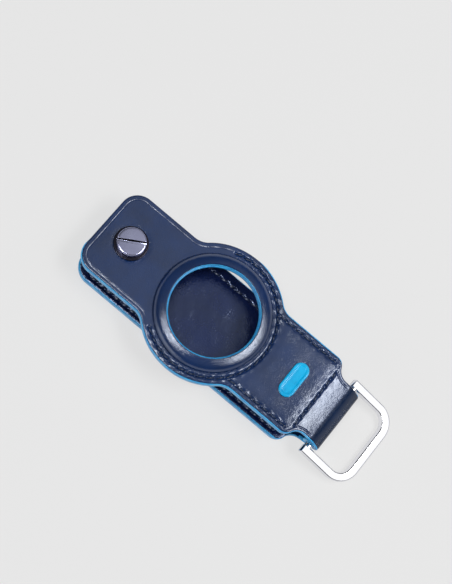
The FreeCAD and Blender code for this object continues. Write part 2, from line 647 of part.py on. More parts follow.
# Stitches: each one a low pill that lies on the leather, set along its seam
def stitch(place, turn):
    """Make one stitch at a place, turned about Z by an angle in degrees."""
    half = value("stitch_length / 2 - stitch_width / 2")
    round_end = value("stitch_width / 2")
    corners = [FreeCAD.Vector(x, y, 0) for x, y in
               ((-half, -round_end), (half, -round_end), (half, round_end), (-half, round_end))]
    tips = [FreeCAD.Vector(half + round_end, 0, 0), FreeCAD.Vector(-half - round_end, 0, 0)]
    edges = [
        Part.LineSegment(corners[0], corners[1]).toShape(),
        Part.Arc(corners[1], tips[0], corners[2]).toShape(),
        Part.LineSegment(corners[2], corners[3]).toShape(),
        Part.Arc(corners[3], tips[1], corners[0]).toShape(),
    ]
    pill = Part.Face(Part.Wire(edges)).extrude(FreeCAD.Vector(0, 0, value("stitch_height")))
    pill.Placement = FreeCAD.Placement(place, FreeCAD.Rotation(Z_DIRECTION, turn))
    return pill


def straight_seam(start, end, height):
    """Set stitches at an even pitch from one place to another."""
    run = FreeCAD.Vector(end[0] - start[0], end[1] - start[1], 0)
    pitch = value(STITCH_PITCH)
    count = int((run.Length - value("stitch_length")) / pitch) + 1
    first = (run.Length - (count - 1) * pitch) / 2
    turn = math.degrees(math.atan2(run.y, run.x))
    along = FreeCAD.Vector(run).normalize()
    foot = FreeCAD.Vector(start[0], start[1], height)
    spots = [foot + along * (first + number * pitch) for number in range(count)]
    return [stitch(spot, turn) for spot in spots]


def round_seam(radius, start, sweep, height):
    """Set stitches at an even pitch clockwise round the window, from a start angle."""
    step = math.degrees(value(STITCH_PITCH) / radius)
    count = int(sweep / step) + 1
    seam = []
    for number in range(count):
        angle = start - number * step
        reach = FreeCAD.Rotation(Z_DIRECTION, angle).multVec(FreeCAD.Vector(radius, 0, height))
        seam.append(stitch(reach, angle + 90))
    return seam


def sewn(name, stitches):
    """Keep a seam's stitches as one piece of thread."""
    seam = doc.addObject("Part::Feature", name)
    seam.Shape = Part.Compound(stitches)
    seam.Placement = FreeCAD.Placement()
    return seam


front_top = value(FRONT_TOP)
seam_radius = value(SEAM_RADIUS)
bezel_stitching = sewn("bezel_stitching", round_seam(
    seam_radius, value("bezel_stitch_start_angle"), value("bezel_stitch_sweep_angle"), front_top))

plate_side = value("strap_width / 2 - plate_stitch_inset")
plate_start = math.sqrt(seam_radius ** 2 - plate_side ** 2) + value(STITCH_PITCH) / 2
plate_end = value("plate_reach - plate_end_inset")
side_end = plate_end - value("shoulder_radius / 2")
end_side = plate_side - value("shoulder_radius / 2")
plate_stitches = straight_seam((plate_end, -end_side), (plate_end, end_side), front_top)
for side in (plate_side, -plate_side):
    plate_stitches += straight_seam((plate_start, side), (side_end, side), front_top)
plate_stitching = sewn("plate_stitching", plate_stitches)

back_top = value(BACK_TOP)
back_side = value("%s / 2 - back_stitch_inset" % BACK_WIDTH)
back_west = -value("%s - back_stitch_inset" % BACK_REACH)
back_east = value("plate_reach - shoulder_radius")
corner_room = value("tab_corner - back_stitch_inset")
row_half = back_side - corner_room
back_stitches = straight_seam((back_west, -row_half), (back_west, row_half), back_top)
for side in (back_side, -back_side):
    back_stitches += straight_seam((back_west + corner_room, side), (back_east, side), back_top)
back_stitching = sewn("back_stitching", back_stitches)

doc.recompute()

# Each sub-part under the name of its file
PIECES = {
    "front_leather": front_leather,
    "front_lining": front_lining_piece,
    "front_neck": front_neck,
    "front_edge_coat": front_edge_coat,
    "front_neck_edge_coat": front_neck_coat,
    "window_edge_coat": window_edge_coat,
    "bezel_stitching": bezel_stitching,
    "plate_stitching": plate_stitching,
    "badge": badge,
    "back_leather": back_leather,
    "back_lining": back_lining_piece,
    "back_edge_coat": back_edge_coat,
    "back_stitching": back_stitching,
    "ring_loop": ring_loop,
    "loop_edge_coat": loop_edge_coat,
    "screw_post": post,
    "screw_washer": washer,
    "screw": screw,
    "d_ring": d_ring,
}

for item in doc.Objects:
    if "Invalid" in item.State or "Error" in item.State:
        raise RuntimeError("%s failed: %s" % (item.Name, item.State))
if not screw.Shape.Volume < plain_screw_volume:
    raise RuntimeError("the slot cuts nothing from the screw head")
for name, piece in PIECES.items():
    piece.Label = name
    if piece.Shape.isNull() or not piece.Shape.isValid():
        raise RuntimeError("%s has no valid shape" % name)

os.makedirs("parts", exist_ok=True)
for name, piece in PIECES.items():
    piece.Shape.exportStep("parts/%s.step" % name)
    box = piece.Shape.BoundBox
    print("%-22s solids %3d  volume %9.3f  x %.2f..%.2f  y %.2f..%.2f  z %.2f..%.2f" % (
        name, len(piece.Shape.Solids), piece.Shape.Volume,
        box.XMin, box.XMax, box.YMin, box.YMax, box.ZMin, box.ZMax))
print("hinge line of the cover at x %.4f z %.4f" % (value(HINGE_REACH), value(HINGE_HEIGHT)))
print("bar of the ring at x %.4f z %.4f" % (value(BAR_REACH), value(BAR_HEIGHT)))
print("screw at x %.4f, under its head z %.4f" % (-value(SCREW_REACH), value(HEAD_LOW)))
print("ring tilt %.3f degrees" % value(RING_TILT))
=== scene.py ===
"""Looks of a tracker tag holder: navy leather straps, blue painted edges, a screw and a ring.

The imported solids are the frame. Each class below builds the visible pieces of one sub-assembly
over those solids and dresses them. Lengths are in millimetres until a mesh is made, in metres.
A strap is drawn flat: "run" goes along it, "side" across it, and "height" is measured outwards
from its outer face, so the leather lies at heights below zero. A profile then bends it.
"""

import json
import logging
from dataclasses import dataclass, field, replace
from enum import Enum
from math import asin, atan2, copysign, cos, degrees, pi, radians, sin, sqrt, tan
from typing import Callable, Sequence

import bmesh
import bpy
import numpy as np
from mathutils import Matrix, Vector
from mathutils.geometry import delaunay_2d_cdt
from mathutils.kdtree import KDTree


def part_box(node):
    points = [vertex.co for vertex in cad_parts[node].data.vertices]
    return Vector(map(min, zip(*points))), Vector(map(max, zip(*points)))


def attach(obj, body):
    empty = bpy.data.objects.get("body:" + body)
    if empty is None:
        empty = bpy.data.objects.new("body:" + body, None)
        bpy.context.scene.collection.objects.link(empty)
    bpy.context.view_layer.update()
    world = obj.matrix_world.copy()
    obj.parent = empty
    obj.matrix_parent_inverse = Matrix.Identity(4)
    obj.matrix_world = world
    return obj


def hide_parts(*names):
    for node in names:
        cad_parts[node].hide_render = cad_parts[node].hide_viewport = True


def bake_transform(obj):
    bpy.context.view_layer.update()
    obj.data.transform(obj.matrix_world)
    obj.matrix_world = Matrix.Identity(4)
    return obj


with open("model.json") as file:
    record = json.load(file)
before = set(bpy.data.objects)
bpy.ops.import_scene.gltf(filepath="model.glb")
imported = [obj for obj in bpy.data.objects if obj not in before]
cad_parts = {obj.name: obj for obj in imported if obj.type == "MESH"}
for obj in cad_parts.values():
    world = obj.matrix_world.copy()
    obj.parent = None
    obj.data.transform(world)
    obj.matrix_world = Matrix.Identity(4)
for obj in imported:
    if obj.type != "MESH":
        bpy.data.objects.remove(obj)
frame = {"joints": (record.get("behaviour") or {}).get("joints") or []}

MM = 0.001
LOG = logging.getLogger("tag_holder")
Array = np.ndarray
Colour = tuple[float, float, float, float]
Place = Callable[[Array, Array, Array], Array]
Heights = Callable[[Array, Array], Array]
Node = bpy.types.Node
Socket = bpy.types.NodeSocket
Tree = bpy.types.NodeTree
Piece = bpy.types.Object
Shell = tuple[Array, list]
CLOSE_STEP = 0.05
CURVE_POINTS = 80
ON_AXIS = 1e-6
SAME_PLACE = 1e-7
PAINT_SHARP = 75.0
THREAD_SHARP = 80.0


class Body(Enum):
    """Bodies of the frame that pieces ride on."""

    BACK = "back"
    FRONT = "front"
    WASHER = "washer"
    SCREW = "screw"
    RING = "ring"


class Slot(Enum):
    """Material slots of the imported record."""

    STRAP = "strap_leather"
    LINING = "lining_leather"
    EDGE = "edge_paint"
    THREAD = "thread"
    BADGE = "badge_enamel"
    NICKEL = "dark_nickel"
    STEEL = "polished_steel"


class Facing(Enum):
    """Which face of a strap something lies on."""

    OUTER = 1
    INNER = -1


class End(Enum):
    """Lower or upper end of a solid's box."""

    LOW = 0
    HIGH = 1


class Axis(Enum):
    """Directions of the frame."""

    ALONG = 0
    ACROSS = 1
    UP = 2


def screen_colour(red: int, green: int, blue: int) -> Colour:
    """Turn a colour as a screen shows it, 0 to 255, into the linear colour that nodes take.

    Args:
        red: Red level.
        green: Green level.
        blue: Blue level.

    Returns:
        Linear colour with full alpha.
    """
    shares = [level / 255 for level in (red, green, blue)]
    linear = [s / 12.92 if s <= 0.04045 else ((s + 0.055) / 1.055) ** 2.4 for s in shares]
    return (linear[0], linear[1], linear[2], 1.0)


def span(node: str) -> tuple[Array, Array]:
    """Give the lowest and highest corner of a CAD node, in millimetres."""
    low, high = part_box(node)
    return np.array(low) / MM, np.array(high) / MM


def edge_of(node: str, end: End, axis: Axis) -> float:
    """Make a dataclass field that reads one end of a CAD node's box, in millimetres.

    Args:
        node: Name of the node.
        end: Which end of its box.
        axis: Direction along which the end is read.

    Returns:
        The field, which gets its value when its class is used.
    """
    return field(default_factory=lambda: float(span(node)[end.value][axis.value]))


def joint_place(name: str) -> Array:
    """Give a point on a joint's axis, in millimetres."""
    joint = next(item for item in frame["joints"] if item["name"] == name)
    return np.array(joint["pos_m"]) / MM


def middle_of(node: str) -> Array:
    """Give the middle of a CAD node's box, in millimetres."""
    return sum(span(node)) / 2


def full_turn(count: int) -> Array:
    """Give even angles round a full turn, in radians."""
    return np.linspace(0, 2 * pi, count, endpoint=False)


@dataclass(frozen=True)
class Fade:
    """A smooth change from 0 at the start to 1 at the end; the start may be the larger one."""

    start: float
    end: float

    def at(self, value: Array) -> Array:
        """Give the share of the change at each place."""
        share = np.clip((np.asarray(value, float) - self.start) / (self.end - self.start), 0, 1)
        return share * share * (3 - 2 * share)


def bell(value: Array, width: float) -> Array:
    """Give a smooth hump that is 1 at zero and falls away over a width."""
    return np.exp(-np.square(np.asarray(value) / width))


@dataclass(frozen=True)
class Ridge:
    """A smooth ridge along a line, or a groove where its height is below zero."""

    height: float
    width: float
    offset: float = 0.0

    def at(self, distance: Array) -> Array:
        """Give its height at each distance from the line."""
        return self.height * bell(distance - self.offset, self.width)


@dataclass(frozen=True)
class Wave:
    """A gentle uneven swell over a surface: waves that turn, quicken and fade one after the other."""

    COUNT = 6
    FIRST_TURN = 0.7
    TURN = 2.4
    QUICKEN = 0.37
    LAG = 1.9

    height: float
    length: float
    pace: tuple[float, float] = (1.0, 1.0)

    def at(self, run: Array, side: Array) -> Array:
        """Give the swell at each flat place."""
        total = np.zeros(np.shape(run))
        for number in range(self.COUNT):
            angle = self.TURN * number + self.FIRST_TURN
            pace = 2 * pi * (1 + self.QUICKEN * number) / self.length
            along = np.cos(angle) * (run * self.pace[0]) + np.sin(angle) * (side * self.pace[1])
            total += np.sin(pace * along + self.LAG * number) / (2 + number)
        return self.height * total


class Nodes:
    """Writes the nodes of one material or group."""

    def __init__(self, tree: Tree) -> None:
        """Start from an empty tree."""
        self.tree = tree
        tree.nodes.clear()

    def add(self, kind: str, values: dict | None = None, **settings: object) -> Node:
        """Add a node.

        Args:
            kind: Blender's name of the node type.
            values: Number, colour or socket for each input, by the input's name or index.
            **settings: Properties of the node.

        Returns:
            The new node.
        """
        node = self.tree.nodes.new(kind)
        for name, setting in settings.items():
            setattr(node, name, setting)
        self.feed(node, values or {})
        return node

    def feed(self, node: Node, values: dict) -> None:
        """Set or link inputs of a node, by their names or indices."""
        for name, value in values.items():
            if isinstance(value, Socket):
                self.tree.links.new(value, node.inputs[name])
            else:
                node.inputs[name].default_value = value

    def math(self, operation: str, first: object, second: object = 0.0) -> Socket:
        """Add a calculation on one or two values and give its result."""
        node = self.add("ShaderNodeMath", {0: first, 1: second}, operation=operation)
        return node.outputs[0]

    def remap(self, value: object, low: float, high: float, to_low: float, to_high: float) -> Socket:
        """Move a value from one range to another, without leaving the second range."""
        numbers = {"Value": value, "From Min": low, "From Max": high, "To Min": to_low, "To Max": to_high}
        return self.add("ShaderNodeMapRange", numbers, clamp=True).outputs["Result"]

    def blend(self, share: object, first: object, second: object) -> Socket:
        """Mix two colours by a share and give the mixed colour."""
        node = self.add("ShaderNodeMix", {0: share, 6: first, 7: second}, data_type="RGBA")
        return node.outputs[2]

    def background_rays(self) -> Socket:
        """Give 1 for rays that show a background: seen by the camera, mirrored or through glass."""
        path = self.add("ShaderNodeLightPath")
        mirrored = self.math("MAXIMUM", path.outputs["Is Glossy Ray"], path.outputs["Is Transmission Ray"])
        return self.math("MAXIMUM", path.outputs["Is Camera Ray"], mirrored)


class ShaderGroups:
    """Node groups that more than one finish uses, each built once."""

    DRIFT_SCALE = 260.0
    DRIFT_REACH = 0.0009
    PEBBLE_WIDTH = 0.32
    PORE_WIDTH = 0.1
    FINE_SCALE_SHARE = 0.6
    FINE_HEIGHT = 0.8
    TONE_RANGE = (0.32, 0.68)
    HAIR_STRETCH = (1.0, 0.04, 1.0)
    HAIR_RANGE = (0.3, 0.75)

    def __init__(self) -> None:
        """Build every group."""
        self.grain = self.hide_grain()
        self.tone = self.cloudy_tone()
        self.marks = self.polish_marks()

    @staticmethod
    def start(name: str, inputs: Sequence[str], outputs: Sequence[str]) -> tuple[Nodes, dict, Node]:
        """Start a group with named sockets.

        Args:
            name: The group's name.
            inputs: Names of its inputs; the one named Vector takes a place, the others take numbers.
            outputs: Names of its outputs, which give numbers.

        Returns:
            The node writer, the group's input sockets by name, and its output node.
        """
        tree = bpy.data.node_groups.new(name, "ShaderNodeTree")
        for socket in inputs:
            kind = "NodeSocketVector" if socket == "Vector" else "NodeSocketFloat"
            tree.interface.new_socket(socket, in_out="INPUT", socket_type=kind)
        for socket in outputs:
            tree.interface.new_socket(socket, in_out="OUTPUT", socket_type="NodeSocketFloat")
        nodes = Nodes(tree)
        entry = nodes.add("NodeGroupInput")
        leave = nodes.add("NodeGroupOutput")
        return nodes, {socket.name: socket for socket in entry.outputs}, leave

    def hide_grain(self) -> Tree:
        """Build the grain of leather: small cells with fine creases and pores."""
        nodes, given, leave = self.start("hide_grain", ["Vector", "Scale", "Crease"], ["Height", "Pores"])
        drift = nodes.add("ShaderNodeTexNoise", {"Vector": given["Vector"], "Scale": self.DRIFT_SCALE,
                                                 "Detail": 2.0})
        bent = nodes.add("ShaderNodeVectorMath", {0: drift.outputs["Color"], 1: (self.DRIFT_REACH,) * 3},
                         operation="MULTIPLY")
        spot = nodes.add("ShaderNodeVectorMath", {0: given["Vector"], 1: bent.outputs[0]}, operation="ADD")
        cells = nodes.add("ShaderNodeTexVoronoi", {"Vector": spot.outputs[0], "Scale": given["Scale"]},
                          feature="DISTANCE_TO_EDGE").outputs["Distance"]
        pebble = nodes.remap(cells, 0.0, self.PEBBLE_WIDTH, 0.0, 1.0)
        fine_scale = nodes.math("MULTIPLY", given["Scale"], self.FINE_SCALE_SHARE)
        fine = nodes.add("ShaderNodeTexNoise", {"Vector": given["Vector"], "Scale": fine_scale,
                                                "Detail": 4.0, "Roughness": 0.6})
        soft = nodes.math("MULTIPLY", fine.outputs["Fac"], self.FINE_HEIGHT)
        rough = nodes.math("MULTIPLY", pebble, given["Crease"])
        nodes.feed(leave, {"Height": nodes.math("ADD", soft, rough),
                           "Pores": nodes.remap(cells, 0.0, self.PORE_WIDTH, 1.0, 0.0)})
        return nodes.tree

    def cloudy_tone(self) -> Tree:
        """Build a slow uneven tone, from 0 to 1, for dye, handling and polish."""
        nodes, given, leave = self.start("cloudy_tone", ["Vector", "Scale"], ["Tone"])
        cloud = nodes.add("ShaderNodeTexNoise", {"Vector": given["Vector"], "Scale": given["Scale"],
                                                 "Detail": 3.0, "Roughness": 0.55})
        nodes.feed(leave, {"Tone": nodes.remap(cloud.outputs["Fac"], *self.TONE_RANGE, 0.0, 1.0)})
        return nodes.tree

    def polish_marks(self) -> Tree:
        """Build hairline marks that run one way, as polishing leaves them."""
        nodes, given, leave = self.start("polish_marks", ["Vector", "Scale"], ["Marks"])
        drawn = nodes.add("ShaderNodeMapping", {"Vector": given["Vector"], "Scale": self.HAIR_STRETCH})
        hair = nodes.add("ShaderNodeTexNoise", {"Vector": drawn.outputs[0], "Scale": given["Scale"],
                                                "Detail": 3.0, "Roughness": 0.7})
        nodes.feed(leave, {"Marks": nodes.remap(hair.outputs["Fac"], *self.HAIR_RANGE, 0.0, 1.0)})
        return nodes.tree


GROUPS = ShaderGroups()


@dataclass(frozen=True)
class Finish:
    """A procedural surface; each kind of finish writes its own nodes."""

    name: str

    def material(self) -> bpy.types.Material:
        """Give the finish's material, built on its first use."""
        found = bpy.data.materials.get(self.name)
        if found:
            return found
        made = bpy.data.materials.new(self.name)
        made.use_nodes = True
        nodes = Nodes(made.node_tree)
        shader = nodes.add("ShaderNodeBsdfPrincipled")
        nodes.add("ShaderNodeOutputMaterial", {"Surface": shader.outputs["BSDF"]})
        place = nodes.add("ShaderNodeTexCoord").outputs["Object"]
        self.write(nodes, shader, place)
        return made

    def write(self, nodes: Nodes, shader: Node, place: Socket) -> None:
        """Write the nodes that feed the shader."""
        raise NotImplementedError

    @staticmethod
    def use(nodes: Nodes, group: Tree, place: Socket, scale: float, **others: float) -> Node:
        """Place a shared group with its own values."""
        return nodes.add("ShaderNodeGroup", {"Vector": place, "Scale": scale, **others}, node_tree=group)

    @staticmethod
    def relief(nodes: Nodes, shader: Node, height: object, strength: float, depth: float) -> None:
        """Feed a height to the shader's normal."""
        bump = nodes.add("ShaderNodeBump", {"Strength": strength, "Distance": depth, "Height": height})
        nodes.feed(shader, {"Normal": bump.outputs["Normal"]})


@dataclass(frozen=True)
class LeatherFinish(Finish):
    """Dyed leather with grain and uneven dye, and a pale highlight painted on the pressed creases."""

    deep: Colour
    dyed: Colour
    painted_highlight_colour: Colour
    smooth: float
    rough: float
    grain_scale: float
    crease: float
    relief_depth: float
    gloss: float
    coat: float = 0.0
    gleam: Colour = (0.8, 0.87, 1.0, 1.0)
    cloud_scale: float = 95.0
    pore_share: float = 0.45
    speck: float = 0.09
    coat_roughness: float = 0.22
    relief_strength: float = 0.6

    def write(self, nodes: Nodes, shader: Node, place: Socket) -> None:
        """Write the leather's nodes."""
        grain = self.use(nodes, GROUPS.grain, place, self.grain_scale, Crease=self.crease)
        tone = self.use(nodes, GROUPS.tone, place, self.cloud_scale).outputs["Tone"]
        dye = nodes.blend(tone, self.deep, self.dyed)
        pores = nodes.math("MULTIPLY", grain.outputs["Pores"], self.pore_share)
        pored = nodes.blend(pores, dye, self.deep)
        # Pale highlight painted along the pressed crease and on stitch crowns, read from a point attribute.
        rub = nodes.add("ShaderNodeAttribute", attribute_name="rub").outputs["Fac"]
        speck = nodes.math("MULTIPLY", grain.outputs["Height"], self.speck)
        sheen = nodes.remap(tone, 0.0, 1.0, self.rough, self.smooth)
        nodes.feed(shader, {
            "Base Color": nodes.blend(rub, pored, self.painted_highlight_colour),
            "Roughness": nodes.math("ADD", sheen, speck),
            "Specular IOR Level": self.gloss,
            "Specular Tint": self.gleam,
            "Coat Weight": self.coat,
            "Coat Roughness": self.coat_roughness})
        self.relief(nodes, shader, grain.outputs["Height"], self.relief_strength, self.relief_depth)


@dataclass(frozen=True)
class PaintFinish(Finish):
    """Thick edge paint, brushed on by hand."""

    thin: Colour
    full: Colour
    roughness: float
    patchy: float = 0.12
    gloss: float = 0.5
    cloud_scale: float = 420.0
    relief_strength: float = 0.3
    relief_depth: float = 0.00008

    def write(self, nodes: Nodes, shader: Node, place: Socket) -> None:
        """Write the paint's nodes."""
        tone = self.use(nodes, GROUPS.tone, place, self.cloud_scale).outputs["Tone"]
        nodes.feed(shader, {
            "Base Color": nodes.blend(tone, self.thin, self.full),
            "Roughness": nodes.remap(tone, 0.0, 1.0, self.roughness + self.patchy, self.roughness),
            "Specular IOR Level": self.gloss})
        self.relief(nodes, shader, tone, self.relief_strength, self.relief_depth)


@dataclass(frozen=True)
class ThreadFinish(Finish):
    """Waxed twisted thread, with a pale glint painted on the crown of each stitch."""

    shade: Colour
    light: Colour
    painted_highlight_colour: Colour
    smooth: float = 0.26
    rough: float = 0.42
    gloss: float = 0.5
    gleam: Colour = (0.62, 0.76, 1.0, 1.0)
    fibre_scale: float = 1900.0
    relief_strength: float = 0.4
    relief_depth: float = 0.00006

    def write(self, nodes: Nodes, shader: Node, place: Socket) -> None:
        """Write the thread's nodes."""
        tone = self.use(nodes, GROUPS.tone, place, self.fibre_scale).outputs["Tone"]
        # Pale glint painted on the crown of each stitch, read from a point attribute.
        rub = nodes.add("ShaderNodeAttribute", attribute_name="rub").outputs["Fac"]
        spun = nodes.blend(tone, self.shade, self.light)
        nodes.feed(shader, {
            "Base Color": nodes.blend(rub, spun, self.painted_highlight_colour),
            "Roughness": nodes.remap(tone, 0.0, 1.0, self.smooth, self.rough),
            "Specular IOR Level": self.gloss,
            "Specular Tint": self.gleam})
        self.relief(nodes, shader, tone, self.relief_strength, self.relief_depth)


@dataclass(frozen=True)
class MetalFinish(Finish):
    """Polished or plated metal with hairline marks and a faint haze."""

    tint: Colour
    hazed: Colour
    roughness: float
    haze: float
    mark_scale: float = 2600.0
    cloud_scale: float = 140.0
    relief_strength: float = 0.06
    relief_depth: float = 0.00002

    def write(self, nodes: Nodes, shader: Node, place: Socket) -> None:
        """Write the metal's nodes."""
        marks = self.use(nodes, GROUPS.marks, place, self.mark_scale).outputs["Marks"]
        tone = self.use(nodes, GROUPS.tone, place, self.cloud_scale).outputs["Tone"]
        haze = nodes.math("MULTIPLY", marks, self.haze)
        nodes.feed(shader, {
            "Base Color": nodes.blend(tone, self.tint, self.hazed),
            "Metallic": 1.0,
            "Roughness": nodes.math("ADD", haze, self.roughness)})
        self.relief(nodes, shader, marks, self.relief_strength, self.relief_depth)


@dataclass(frozen=True)
class EnamelFinish(Finish):
    """Bright glossy enamel over metal."""

    deep: Colour
    bright: Colour
    roughness: float
    patchy: float = 0.1
    gloss: float = 0.3
    coat: float = 0.12
    coat_roughness: float = 0.08
    cloud_scale: float = 230.0
    mark_scale: float = 1800.0

    def write(self, nodes: Nodes, shader: Node, place: Socket) -> None:
        """Write the enamel's nodes."""
        tone = self.use(nodes, GROUPS.tone, place, self.cloud_scale).outputs["Tone"]
        marks = self.use(nodes, GROUPS.marks, place, self.mark_scale).outputs["Marks"]
        nodes.feed(shader, {
            "Base Color": nodes.blend(tone, self.deep, self.bright),
            "Roughness": nodes.remap(marks, 0.0, 1.0, self.roughness, self.roughness + self.patchy),
            "Specular IOR Level": self.gloss,
            "Coat Weight": self.coat,
            "Coat Roughness": self.coat_roughness})


@dataclass(frozen=True)
class FloorFinish(Finish):
    """Plain pale studio floor; as a background it is partly evened out, so its shadows stay faint."""

    pale: Colour
    even: float = 0.78
    near: float = 0.15
    far: float = 0.8
    roughness: float = 0.9
    gloss: float = 0.1

    def write(self, nodes: Nodes, shader: Node, place: Socket) -> None:
        """Set a matt colour, and an even share of it for rays that see the floor as background."""
        nodes.feed(shader, {
            "Base Color": self.pale,
            "Roughness": self.roughness,
            "Specular IOR Level": self.gloss})
        away = nodes.add("ShaderNodeVectorMath", {0: place}, operation="LENGTH").outputs["Value"]
        evened = nodes.remap(away, self.near, self.far, self.even, 1.0)
        share = nodes.math("MULTIPLY", nodes.background_rays(), evened)
        plain = nodes.add("ShaderNodeEmission", {"Color": self.pale, "Strength": 1.0})
        both = nodes.add("ShaderNodeMixShader", {0: share, 1: shader.outputs[0], 2: plain.outputs[0]})
        surface = next(node for node in nodes.tree.nodes if node.type == "OUTPUT_MATERIAL")
        nodes.feed(surface, {"Surface": both.outputs[0]})


STRAP_LEATHER = LeatherFinish(
    "strap_leather_navy", deep=screen_colour(8, 34, 74), dyed=screen_colour(12, 46, 97),
    painted_highlight_colour=screen_colour(205, 210, 228), smooth=0.08, rough=0.14, grain_scale=2100.0, crease=0.35,
    relief_depth=0.00006, gloss=1.0, coat=0.1)
# Painted shade: the strap leather dyed darker and less glossy on the loop, where the neck turns down round
# the bar.
SHADED_LOOP_LEATHER = replace(
    STRAP_LEATHER, name="loop_leather_navy", deep=screen_colour(8, 28, 56),
    dyed=screen_colour(11, 37, 74), gloss=0.3)
LINING_LEATHER = LeatherFinish(
    "lining_leather_navy", deep=screen_colour(10, 20, 54), dyed=screen_colour(14, 29, 76),
    painted_highlight_colour=screen_colour(90, 96, 128), smooth=0.1, rough=0.16, grain_scale=1500.0, crease=0.6,
    relief_depth=0.00005, gloss=1.0, gleam=(0.56, 0.68, 1.0, 1.0))
EDGE_PAINT = PaintFinish(
    "edge_paint_blue", thin=screen_colour(34, 148, 214), full=screen_colour(64, 181, 240), roughness=0.28)
THREAD = ThreadFinish(
    "waxed_thread_navy", shade=screen_colour(11, 22, 44), light=screen_colour(24, 42, 74),
    painted_highlight_colour=screen_colour(196, 202, 222))
# Black nickel for the washer, whose dark ring partly stands for the shadow round the screw's head, and
# painted shade on the slot's walls.
BLACK_NICKEL_AND_SHADE = MetalFinish(
    "black_nickel_satin", tint=screen_colour(52, 51, 62), hazed=screen_colour(38, 38, 48),
    roughness=0.2, haze=0.1)
DARK_NICKEL = MetalFinish(
    "dark_nickel_polish", tint=screen_colour(176, 179, 210), hazed=screen_colour(158, 161, 192),
    roughness=0.15, haze=0.1)
STEEL = MetalFinish(
    "steel_mirror_polish", tint=screen_colour(236, 236, 240), hazed=screen_colour(222, 223, 229),
    roughness=0.045, haze=0.05)
CYAN_ENAMEL = EnamelFinish(
    "cyan_enamel_gloss", deep=screen_colour(4, 166, 224), bright=screen_colour(10, 190, 246), roughness=0.16)
FLOOR = FloorFinish("pale_floor", pale=screen_colour(233, 233, 233))


def add_object(name: str, data: bpy.types.ID) -> Piece:
    """Add an object to the scene."""
    added = bpy.data.objects.new(name, data)
    bpy.context.scene.collection.objects.link(added)
    return added


def make_piece(name: str, shell: Shell, finish: Finish, slot: Slot, sharp: float = 42.0,
               rub: Array | None = None) -> Piece:
    """Make one closed piece.

    Args:
        name: Name of the piece.
        shell: Points in millimetres, one row each, and the point numbers of each face.
        finish: Surface of the piece.
        slot: Material slot of the record that the finish belongs to; not used.
        sharp: Edges that turn by more than this many degrees stay sharp.
        rub: Share of the pale painted highlight or glint at each point, from 0 to 1.

    Returns:
        The new object, linked to the scene.
    """
    points, faces = shell
    mesh = bpy.data.meshes.new(name)
    mesh.from_pydata((points * MM).tolist(), [], [list(map(int, face)) for face in faces])
    # The attribute holds the share of painted highlight or glint at each point.
    if rub is not None:
        mesh.attributes.new("rub", "FLOAT", "POINT").data.foreach_set("value", np.asarray(rub, np.float32))
    work = bmesh.new()
    work.from_mesh(mesh)
    bmesh.ops.recalc_face_normals(work, faces=work.faces)
    work.to_mesh(mesh)
    work.free()
    mesh.shade_smooth()
    mesh.set_sharp_from_angle(angle=radians(sharp))
    mesh.materials.append(finish.material())
    piece = add_object(name, mesh)
    LOG.info("%s: %d points, %d faces, %s", name, len(mesh.vertices), len(mesh.polygons), finish.name)
    return piece


def lathe(section: Sequence[tuple[float, float]], centre: Array, count: int = 96) -> Shell:
    """Turn a closed section about an upright axis.

    Args:
        section: (radius, height) corners in order; a radius of zero lies on the axis.
        centre: Place of the axis, (x, y).
        count: Number of steps round the axis.

    Returns:
        Points and faces.
    """
    turns = full_turn(count)
    points: list[tuple[float, float, float]] = []
    rows: list[list[int]] = []
    for radius, height in section:
        first = len(points)
        if radius < ON_AXIS:
            points.append((centre[0], centre[1], height))
            rows.append([first] * count)
        else:
            points += [(centre[0] + radius * cos(turn), centre[1] + radius * sin(turn), height)
                       for turn in turns]
            rows.append(list(range(first, first + count)))
    closed = section[0][0] > ON_AXIS
    pairs = list(zip(rows, rows[1:] + rows[:1])) if closed else list(zip(rows, rows[1:]))
    faces = []
    for low, high in pairs:
        for step in range(count):
            after = (step + 1) % count
            ring = [low[step], low[after], high[after], high[step]]
            corners = [number for place, number in enumerate(ring) if number not in ring[:place]]
            if len(corners) > 2:
                faces.append(corners)
    return np.array(points), faces


def rounded(corners: Sequence[tuple[float, float, float]], steps: int = 5) -> list[tuple[float, float]]:
    """Round the corners of a closed section.

    Args:
        corners: (radius, height, rounding) of each corner in order.
        steps: Points on each rounded corner.

    Returns:
        The section's (radius, height) points.
    """
    section = []
    for place, (across, up, rounding) in enumerate(corners):
        here = np.array([across, up])
        if rounding <= 0:
            section.append((across, up))
            continue
        before = np.array(corners[place - 1][:2]) - here
        after = np.array(corners[(place + 1) % len(corners)][:2]) - here
        start = here + before / np.linalg.norm(before) * rounding
        end = here + after / np.linalg.norm(after) * rounding
        for share in np.linspace(0, 1, steps):
            spot = start * (1 - share) ** 2 + here * 2 * share * (1 - share) + end * share ** 2
            section.append((float(spot[0]), float(spot[1])))
    return section


def tube(rings: Array) -> Shell:
    """Close a tube of point rings, with flat ends."""
    count, sides = rings.shape[0], rings.shape[1]
    faces = []
    for ring in range(count - 1):
        for side in range(sides):
            after = (side + 1) % sides
            first = ring * sides
            faces.append([first + side, first + after, first + sides + after, first + sides + side])
    faces.append(list(range(sides - 1, -1, -1)))
    faces.append([(count - 1) * sides + side for side in range(sides)])
    return rings.reshape(-1, 3), faces


def join(shells: Sequence[Shell]) -> Shell:
    """Gather several shells into one."""
    points: list[Array] = []
    faces: list[list[int]] = []
    for places, sides in shells:
        first = sum(len(block) for block in points)
        points.append(places)
        faces += [[first + number for number in face] for face in sides]
    return np.vstack(points), faces


def both_halves(upper: Array) -> Array:
    """Close an upper half line with its mirror image."""
    return np.vstack([upper, upper[::-1] * np.array([1.0, -1.0])])


